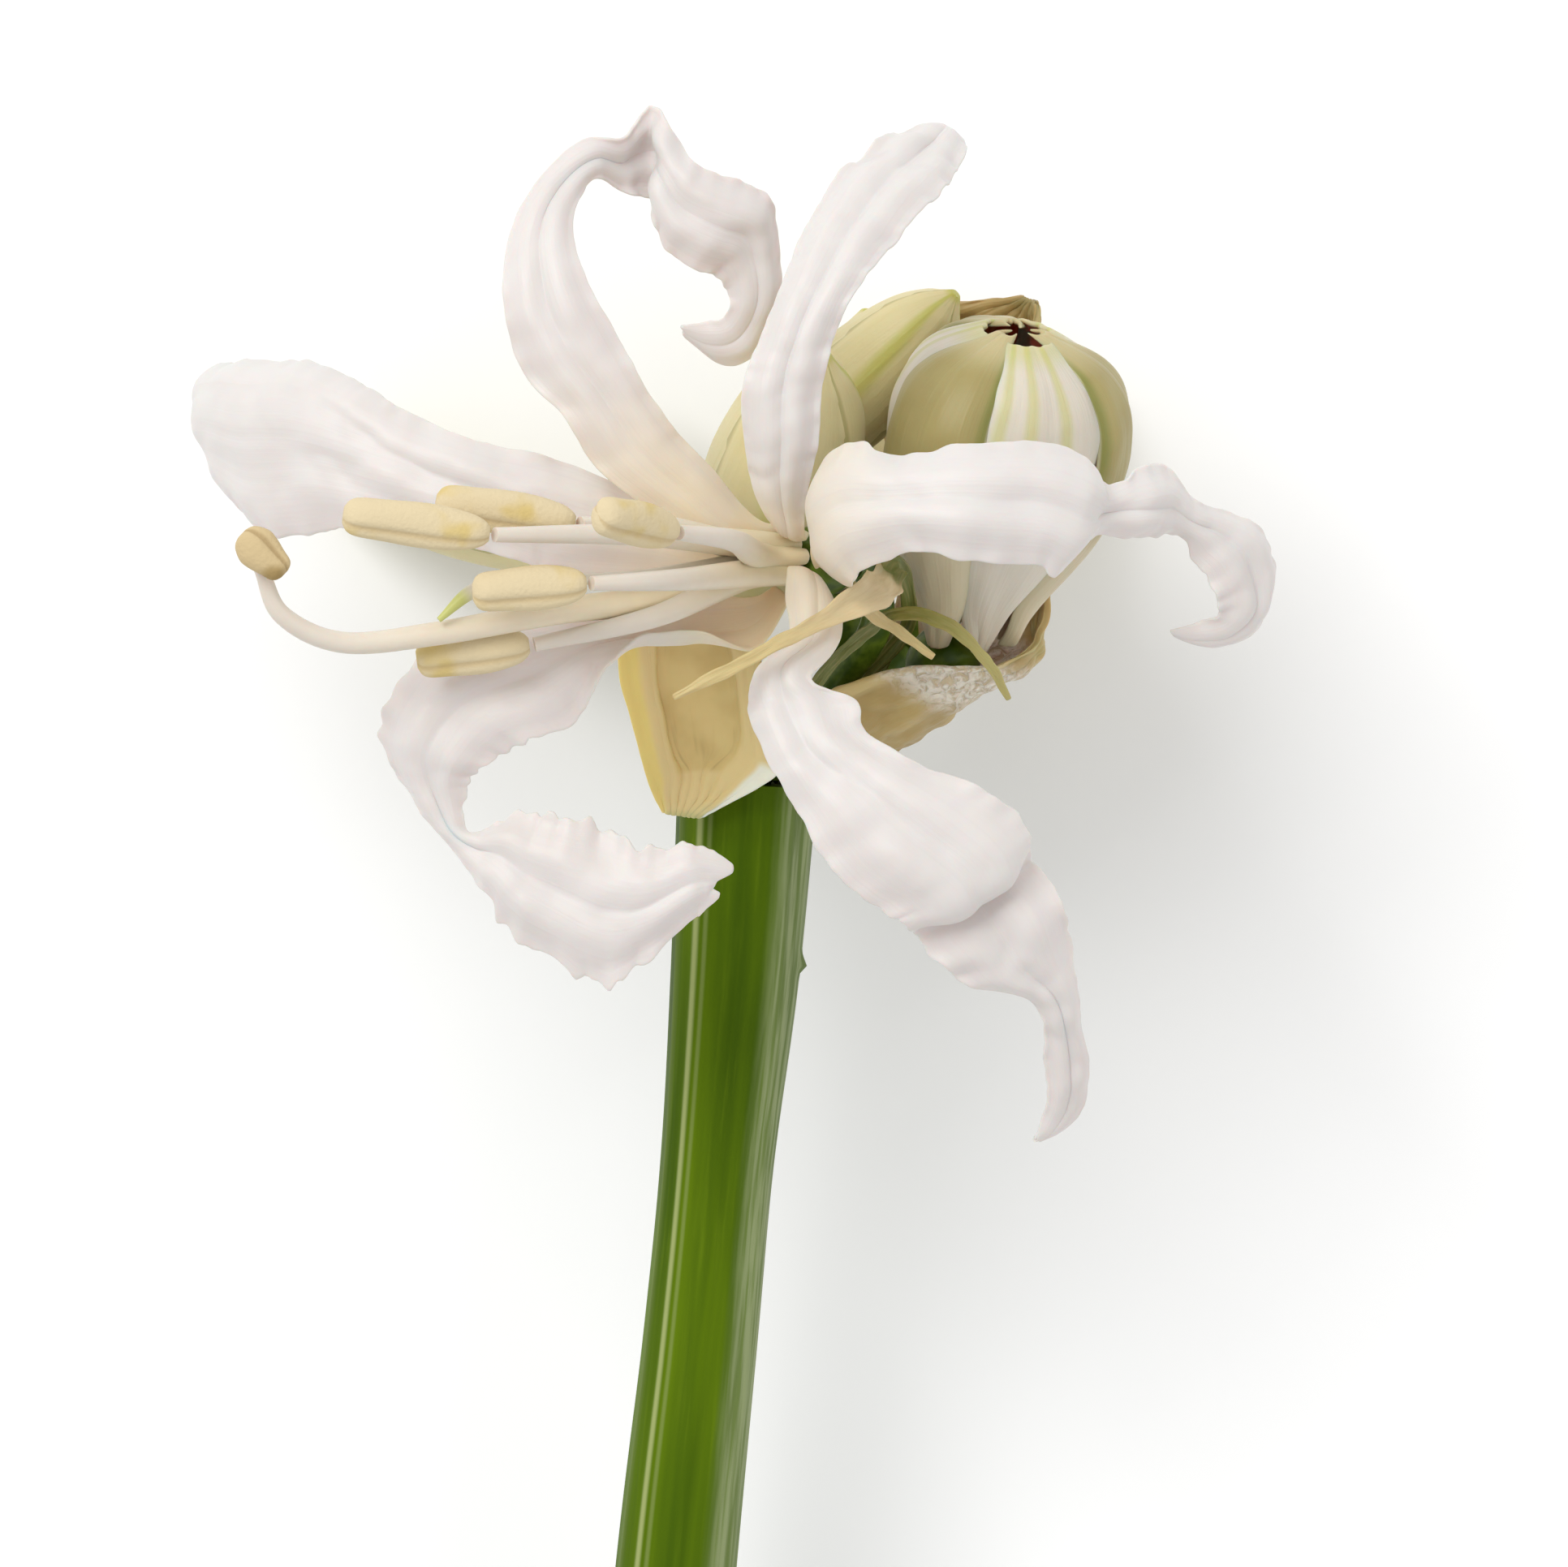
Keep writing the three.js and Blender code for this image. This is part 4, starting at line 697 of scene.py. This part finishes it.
# Where each stands round the throat, how much it is ruffled and ragged, and its rows: the left margin's x, y, z, the
# right margin's, how far the strap's crest stands up between them, and where the crest lies, from -1 to 1.
OPEN_TEPALS = {
    "upper": (20, 0.3, 0.02, [
        [1.9, 18.8, 49, 4, 17.9, 48.6, 0.3, 0], [0.6, 21, 50.4, 4.1, 20.7, 49.8, 0.6, 0],
        [-0.1, 24.6, 52, 4.9, 24.4, 51.6, 0.9, 0], [-0.2, 28.2, 52.8, 5.3, 28.6, 52.6, 0.9, 0],
        [1, 31.4, 53, 6.4, 32.4, 53, 0.8, 0], [2.4, 35, 52, 8.6, 36, 52, 0.7, 0],
        [3.8, 38.6, 50, 11, 39.2, 50, 0.6, 0], [6, 42.2, 47, 13.2, 41.4, 47, 0.6, 0],
        [9, 44.8, 43.4, 14.4, 43, 43, 0.5, 0], [11.6, 46.2, 39, 15, 44.8, 38.6, 0.3, 0],
        [13.2, 46.4, 35.6, 13.8, 46, 35.6, 0, 0],
    ]),
    "right": (80, 0.35, 0.05, [
        [5, 19, 49.8, 5.2, 15.9, 49.8, 0.4, 0], [5.2, 23, 54.2, 6.9, 14.5, 54.4, 1.8, 0],
        [7.6, 24.3, 56.4, 8, 15.6, 56.8, 2, 0], [9.8, 23.3, 57.6, 11.4, 16.8, 58.8, 1.8, 0],
        [14.6, 24, 58.8, 14.4, 16.2, 59.6, 1.8, 0], [19.6, 24.2, 58.4, 19.2, 15.9, 58.6, 1.8, 0],
        [22.9, 23.2, 57.2, 20.9, 15.2, 57.6, 1.6, 0], [24.2, 21.4, 56.4, 22.8, 17.8, 56.2, 0.8, 0],
        [26.4, 22.7, 54.6, 25.6, 17.8, 54, 1.6, 0.1], [28.4, 22.6, 53, 27.6, 18, 52.4, 1.4, 0.1],
        [30.2, 20.4, 51.6, 29.4, 17.9, 51.2, 0.8, 0], [32.6, 19.7, 49.2, 30.6, 16.1, 51, 1, 0],
        [35, 18.2, 47.6, 31.4, 14.4, 50.6, 1.2, 0], [35.7, 15.2, 46.8, 31.8, 12.9, 49.6, 1.2, 0],
        [34.2, 11.6, 46.6, 31.2, 12.3, 48.6, 0.8, 0], [31.6, 10.6, 46.6, 29.9, 12.1, 47.8, 0.4, 0],
        [28.9, 11.4, 46.8, 28.8, 11.8, 47, 0, 0],
    ]),
    "lower_right": (140, 0.35, 0.04, [
        [5.4, 14.4, 49.4, 2.9, 16, 49.8, 0.4, 0], [6.5, 12.6, 51.6, 2.7, 13.8, 51.8, 0.8, 0],
        [6.1, 10.4, 53.6, 2.9, 11.2, 53.6, 0.6, 0], [4.4, 8.3, 55.6, 0.7, 9, 54.8, 0.5, 0],
        [7.4, 7, 55.8, 0.2, 6.4, 55.6, 0.8, 0.3], [8.2, 4.8, 56.4, 1.6, 2.8, 56.8, 1, 0.2],
        [12, 2.6, 57, 3.8, -1, 57.6, 1.2, 0], [16.2, 1, 57, 6.4, -5.2, 58, 1.4, 0],
        [19, -1.6, 56.4, 9.6, -7.3, 57.8, 1.5, 0], [19.3, -3.2, 55.8, 10.6, -8, 57.2, 1.6, 0],
        [19.5, -4, 54.4, 11.1, -8.5, 55.8, 0.2, 0], [21.2, -6.4, 53.8, 13, -10.6, 55.4, 0.8, 0],
        [22, -9.4, 52.4, 15, -12.2, 54, 0.8, 0], [22.3, -12.4, 51, 18.6, -12.9, 52.4, 0.8, 0],
        [22.7, -15.2, 49.6, 19.9, -14.4, 50.8, 0.5, 0], [23.2, -17.4, 48, 20.1, -17, 49.4, 0.5, 0],
        [22.9, -20, 46.6, 20.3, -19.8, 47.8, 0.4, 0], [21.8, -21.8, 45.8, 19.9, -21.6, 46.8, 0.2, 0],
        [20, -22.6, 45.6, 19.4, -22.7, 46, 0, 0],
    ]),
    "lower_left": (205, 0.35, 0.13, [
        [0.6, 10.4, 49.4, 0.2, 14, 47, -0.8, 0], [-3.2, 11.8, 51.6, -3.6, 14.4, 48.2, -2.4, 0],
        [-7.2, 11.3, 52, -7.6, 13.9, 49, -2, 0], [-9.8, 8.4, 51.6, -12, 12.6, 50.2, -0.6, 0],
        [-11.8, 5.2, 51.2, -17, 12, 50.4, 1, 0], [-15.4, 4, 51, -21.6, 10.2, 50.2, 1.2, 0],
        [-17.2, 2.8, 50.8, -24.4, 6, 49.8, 1.2, 0], [-18.5, 1.6, 50.2, -24, 3, 49.4, 0.8, 0],
        [-18.8, 0, 49.6, -22.6, 0.6, 49, 0.5, 0], [-18.7, -1.7, 49.4, -20.8, -1.8, 49, 0.4, 0],
        [-17.4, -1.6, 49.8, -18.8, -4.2, 49.2, 0.4, 0], [-15.2, -0.5, 50.4, -17.2, -6.4, 49.6, 0.8, 0],
        [-13.4, -0.8, 50.6, -16, -8.4, 49.6, 1, 0], [-11.2, -0.9, 50.8, -13, -10.6, 49.8, 1.2, 0],
        [-8.6, -1.9, 51, -9.6, -12.2, 50, 1.2, 0], [-6.2, -2.9, 51.2, -6.8, -10.6, 50.2, 1, 0],
        [-3.8, -2.8, 51.4, -3.8, -8, 50.6, 0.8, 0], [-2.4, -3, 51.4, -2.9, -7.3, 50.8, 0.3, 0],
        [-1.1, -3.8, 51.2, -1.6, -6.3, 50.9, 0, 0],
    ]),
    "left": (265, 0.3, 0.03, [
        [-1.6, 15.2, 45, -1.5, 18, 44.4, 0.3, 0], [-6.5, 15.4, 46.2, -6.6, 20.6, 45.4, 0.8, 0],
        [-12.6, 15.6, 46.8, -12.4, 23.2, 45.8, 1.2, 0], [-16.6, 16.8, 46.6, -18.2, 24.6, 45.6, 1.4, 0.1],
        [-21.5, 18, 45.2, -22.6, 26.4, 44, 1.6, 0.2], [-26.3, 18.6, 43, -25.6, 28.3, 41.6, 2.6, 0.5],
        [-29.2, 18.5, 41.2, -29, 30, 38.6, 3, 0.55], [-32.6, 18.3, 38.6, -32.4, 30.2, 35.4, 3.2, 0.55],
        [-34.9, 20.6, 35.6, -35.4, 30.2, 32, 2.6, 0.5], [-34.8, 22.4, 33, -35.8, 29.4, 29.6, 1.6, 0.2],
        [-33.4, 23.4, 29.4, -34, 28.2, 27, 0.8, 0], [-31.2, 24.6, 27.4, -31.2, 26.6, 26.4, 0.3, 0],
        [-29, 25.2, 27, -29, 25.6, 26.8, 0, 0],
    ]),
    "upper_left": (322, 0.35, 0.04, [
        [-2.4, 17.6, 47.4, 0.6, 19.4, 46.2, 0.3, 0], [-6.4, 19.8, 48.8, -2.2, 22.6, 47.4, 0.5, 0],
        [-10, 22.6, 49.6, -4.6, 25.2, 48.4, 0.6, 0], [-12.2, 26, 50, -6.8, 28.2, 49.4, 0.6, 0],
        [-15.2, 29.4, 49.8, -8.6, 31.6, 49.8, 0.8, 0], [-16.3, 34, 49.4, -10.6, 35.2, 49.8, 0.8, 0],
        [-16, 38.2, 48.2, -11.6, 38.6, 48.4, 0.8, 0], [-14, 42.2, 46.4, -11.1, 41, 46, 0.5, 0],
        [-10.8, 45, 44.6, -10, 42.4, 43.8, 0.3, 0], [-8.2, 45.2, 43.2, -8, 41.4, 42, -0.4, 0],
        [-6.6, 47.4, 42, -6.2, 41, 41, -0.6, 0], [-5.2, 46, 42.8, -6.2, 39.6, 42.4, 0.6, 0],
        [-3.4, 43.4, 43, -5.4, 37.6, 42.6, 1, 0], [-0.8, 42.4, 42.6, -3.6, 36.3, 42.4, 1.2, 0],
        [1.6, 41.4, 41.6, -2, 35.8, 41.8, 1, 0], [2.2, 38, 40.6, -1.2, 34.8, 41.2, 0.8, 0],
        [2.2, 34.4, 39.8, -1.1, 33.9, 40.8, 0.6, 0], [0.8, 30.8, 39, -1.6, 33, 40.2, 0.5, 0],
        [-1.6, 29.9, 38.6, -2.8, 32.8, 39.8, 0.3, 0], [-4.2, 31.9, 38.8, -4.4, 32.6, 39.4, 0, 0],
    ]),
}


def round_throat(degrees):
    """The direction out from the flower's axis at that angle round it."""
    turn = math.radians(degrees)
    return FLOWER_TOP * math.cos(turn) + FLOWER_RIGHT * math.sin(turn)


def tepal_point(rows, share, t, ruffle, ragged):
    """A point on a strap between its margins, with crisped and nicked margins and soft creases."""
    row = rows_at(rows, share)
    ahead = rows_at(rows, min(share + 0.006, 1))
    behind = rows_at(rows, max(share - 0.006, 0))
    left, right = Vector(row[:3]), Vector(row[3:6])
    along = Vector(ahead[:3]) + Vector(ahead[3:6]) - Vector(behind[:3]) - Vector(behind[3:6])
    across = right - left
    face = across.cross(along).normalized()
    crown, crest = row[6:]
    from_crest = (t - crest) / (1 + crest if t < crest else 1 - crest)
    margin = left if t < 0 else right
    spread = min(1.0, share * 4) * min(1.0, (1 - share) * 6)
    nick = noise.noise(margin * 0.9) + 0.8 * noise.noise(margin * 2.3) + 0.6 * noise.noise(margin * 4.1)
    reach = t * (1 + spread * ragged * (0.6 + 1.4 * share) * nick * abs(t) ** 3)
    wave = noise.noise(margin * 0.5 + Vector((7, 0, 0))) + 0.6 * noise.noise(margin * 1.2)
    point = left.lerp(right, (reach + 1) / 2)
    torn = max(0.0, share - 0.95) * 20 * ragged * 9
    point += along.normalized() * torn * noise.noise(Vector((2.6 * t, ragged * 50, 0)))
    lift = crown * (1 - from_crest ** 2) + spread * ruffle * 2 * wave * t * t
    lift -= 0.14 * spread * math.exp(-(((t - crest) / 0.09) ** 2))
    folds = math.cos(7.5 * (t - crest) + 1.6 * noise.noise(margin * 0.12))
    lift -= 0.2 * spread * folds * min(1.0, across.length / 6)
    lift += spread * (0.45 * noise.noise(point * 0.3) + 0.14 * noise.noise(point * 0.8))
    return point + face * lift


pearl_petal, shader, across, along, colour, height = petal_finish(
    "pearl_petal", (0.73, 0.62, 0.4, 1), (0.66, 0.645, 0.622, 1), (0.59, 0.57, 0.545, 1), **SOFT_SETTINGS
)
link_finish(pearl_petal, shader, colour, height, 0.12)
for place_name, (azimuth, ruffle, ragged, rows) in OPEN_TEPALS.items():
    outward = round_throat(azimuth)
    foot = THROAT + outward * TEPAL_RING
    half_foot = FLOWER_AXIS.cross(outward) * TEPAL_FOOT_WIDTH / 2
    rows = [[*(foot + half_foot), *(foot - half_foot), 0.1, 0]] + rows
    tepal = sheet_piece(
        f"curled_tepal_{place_name}",
        lambda s, t, a=rows, b=ruffle, c=ragged: tepal_point(a, s, t, b, c),
        28, 130, TEPAL_THICKNESS, 0.45,
    )
    tepal.data.materials.append(pearl_petal)
    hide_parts(f"open_flower_tepal_{place_name}")
    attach(tepal, "root")

# Six stamens lean out of the throat to the left: cream-white threads, each with a two-lobed anther on its end. Five
# anthers are full and pale yellow, and the longest thread curves up to one that has shrivelled brown.
STAMEN_RING = 1.2
STAMEN_RISE = 4
STYLE_RISE = 5
FILAMENT_SWELL = [0.55, 0.95, 0.95, 0.85, 0.75, 0.66, 0.5]
STAMENS = [
    (20, [(-7.2, 18, 57.6)], (-16.6, 17.9, 62.6), (-1, 0.13, 0.1), 9.8),
    (322, [(-5.6, 18.6, 53.8)], (-11, 18.7, 58), (-1, 0.15, 0.12), 9.4),
    (75, [(-0.8, 17.6, 57.8)], (-4.4, 18, 64), (-0.66, 0.14, 0.74), 7.6),
    (135, [(-4.4, 15, 57.4)], (-10.2, 14.7, 60.6), (-1, -0.08, 0.12), 7.6),
    (205, [(-6, 12.6, 53.4)], (-14.1, 10.7, 54.6), (-1, -0.13, 0.05), 7.6),
    (
        265,
        [(-5, 14, 51.2), (-12.6, 12.9, 55.2), (-20.6, 11.4, 57.2), (-26.8, 10.8, 58), (-30.8, 12.6, 59.2)],
        (-32.2, 15.7, 59.8),
        (0.72, -0.68, -0.02),
        3.9,
    ),
]
DRY_ANTHER_FOOT = (-33.4, 18, 61.6)
cream_thread_skin, shader = new_finish(
    "cream_stamen_thread", Roughness=0.42, Subsurface_Weight=0.25, Subsurface_Scale=0.001
)
uv, around, along = uv_parts(cream_thread_skin)
fleck_place = add_node(cream_thread_skin, "TexCoord").outputs["Object"]
fleck = add_node(cream_thread_skin, "TexNoise", None, Vector=fleck_place, Scale=900.0, Detail=2.0).outputs["Fac"]
colour = blend_colour(
    cream_thread_skin, smooth_range(cream_thread_skin, along, 0.2, 0.8), (0.82, 0.7, 0.46, 1), (0.68, 0.63, 0.55, 1)
)
fleck_share = calculate(cream_thread_skin, "MULTIPLY", fleck, 0.3)
colour = blend_colour(cream_thread_skin, fleck_share, colour, (0.58, 0.5, 0.4, 1))
link_finish(cream_thread_skin, shader, colour, fleck, 0.1)


def anther_finish(name, pale, deep, groove_colour):
    """Powdery pollen sacs: pale, patched with a deeper yellow, and darker along the groove on each side."""
    finish, shader = new_finish(name, Roughness=0.8, Specular_IOR_Level=0.2)
    uv, around, along = uv_parts(finish)
    place = add_node(finish, "TexCoord").outputs["Object"]
    dust = add_node(finish, "TexNoise", None, Vector=place, Scale=3200.0, Detail=3.0).outputs["Fac"]
    patch = add_node(finish, "TexNoise", None, Vector=place, Scale=300.0, Detail=2.0).outputs["Fac"]
    colour = blend_colour(finish, smooth_range(finish, patch, 0.5, 0.7), pale, deep)
    for groove_place in (0.38, 0.88):
        from_groove = calculate(finish, "ABSOLUTE", calculate(finish, "SUBTRACT", around, groove_place))
        colour = blend_colour(finish, smooth_range(finish, from_groove, 0.045, 0.01, 0, 0.45), colour, groove_colour)
    link_finish(finish, shader, colour, dust, 0.25)
    return finish


full_anther = anther_finish(
    "pale_yellow_anther", (0.66, 0.55, 0.35, 1), (0.62, 0.48, 0.2, 1), (0.5, 0.36, 0.17, 1)
)
dry_anther = anther_finish("dry_brown_anther", (0.58, 0.45, 0.25, 1), (0.36, 0.25, 0.1, 1), (0.25, 0.15, 0.05, 1))


ANTHER_RISE = [0, 0.04, 0.12, 0.3, 0.5, 0.7, 0.88, 0.96, 1]
FULL_ANTHER_SWELL = [0.45, 0.8, 1.08, 1.28, 1.34, 1.3, 1.24, 0.98, 0.5]
DRY_ANTHER_SWELL = [0.35, 0.75, 1.02, 1.25, 1.2, 1.05, 0.9, 0.65, 0.3]
GROOVE_TURN = -0.75


def anther_girth(turn, share):
    groove = 0.2 * math.exp(-((math.sin((turn - GROOVE_TURN) / 2) / 0.13) ** 2))
    far_groove = 0.2 * math.exp(-((math.cos((turn - GROOVE_TURN) / 2) / 0.13) ** 2))
    lobes = 1 + 0.1 * math.cos(2 * turn + math.pi)
    return (1 - groove - far_groove) * lobes * (1 + 0.035 * math.sin(11 * share + 2 * turn))


for number, (azimuth, passing, end, pointing, length) in enumerate(STAMENS, 1):
    foot = THROAT + round_throat(azimuth) * STAMEN_RING
    route = [foot, foot + FLOWER_AXIS * STAMEN_RISE, *passing, end]
    last = len(route) - 1
    rows = [
        [*point, rows_at([[size] for size in FILAMENT_SWELL], i / last)[0]]
        for i, point in enumerate(route)
    ]
    thread = round_piece(f"stamen_thread_{number}", rows, 16, 70)
    thread.data.materials.append(cream_thread_skin)
    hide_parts(f"filament_{number}")
    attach(thread, "root")
    pointing = Vector(pointing).normalized()
    dry = number == len(STAMENS)
    anther_foot = Vector(DRY_ANTHER_FOOT) if dry else Vector(end) + pointing * SEAT_GAP
    swell = DRY_ANTHER_SWELL if dry else FULL_ANTHER_SWELL
    rows = [[*(anther_foot + pointing * length * rise), size] for rise, size in zip(ANTHER_RISE, swell)]
    anther = round_piece(f"pollen_sac_{number}", rows, 36, 40, anther_girth)
    anther.data.materials.append(dry_anther if dry else full_anther)
    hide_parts(f"anther_{number}")
    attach(anther, "root")

# The style is the thinnest thread, from the middle of the throat, and ends in a small pale green stigma.
green_tipped_style, shader = new_finish("green_tipped_style", Roughness=0.42)
uv, around, along = uv_parts(green_tipped_style)
tip_share = smooth_range(green_tipped_style, along, 0.78, 0.86)
colour = blend_colour(green_tipped_style, tip_share, (0.66, 0.6, 0.5, 1), (0.52, 0.53, 0.16, 1))
link_finish(green_tipped_style, shader, colour, around, 0.05)
style_rows = [
    [*THROAT, 0.45],
    [*(THROAT + FLOWER_AXIS * STYLE_RISE), 0.42],
    [-8, 15.2, 53.4, 0.4],
    [-15.6, 15, 57, 0.36],
    [-18.2, 14.2, 58, 0.5],
    [-20.4, 12.3, 58.4, 0.2],
]
style = round_piece("flower_style", style_rows, 14, 60)
style.data.materials.append(green_tipped_style)
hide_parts("style")
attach(style, "root")
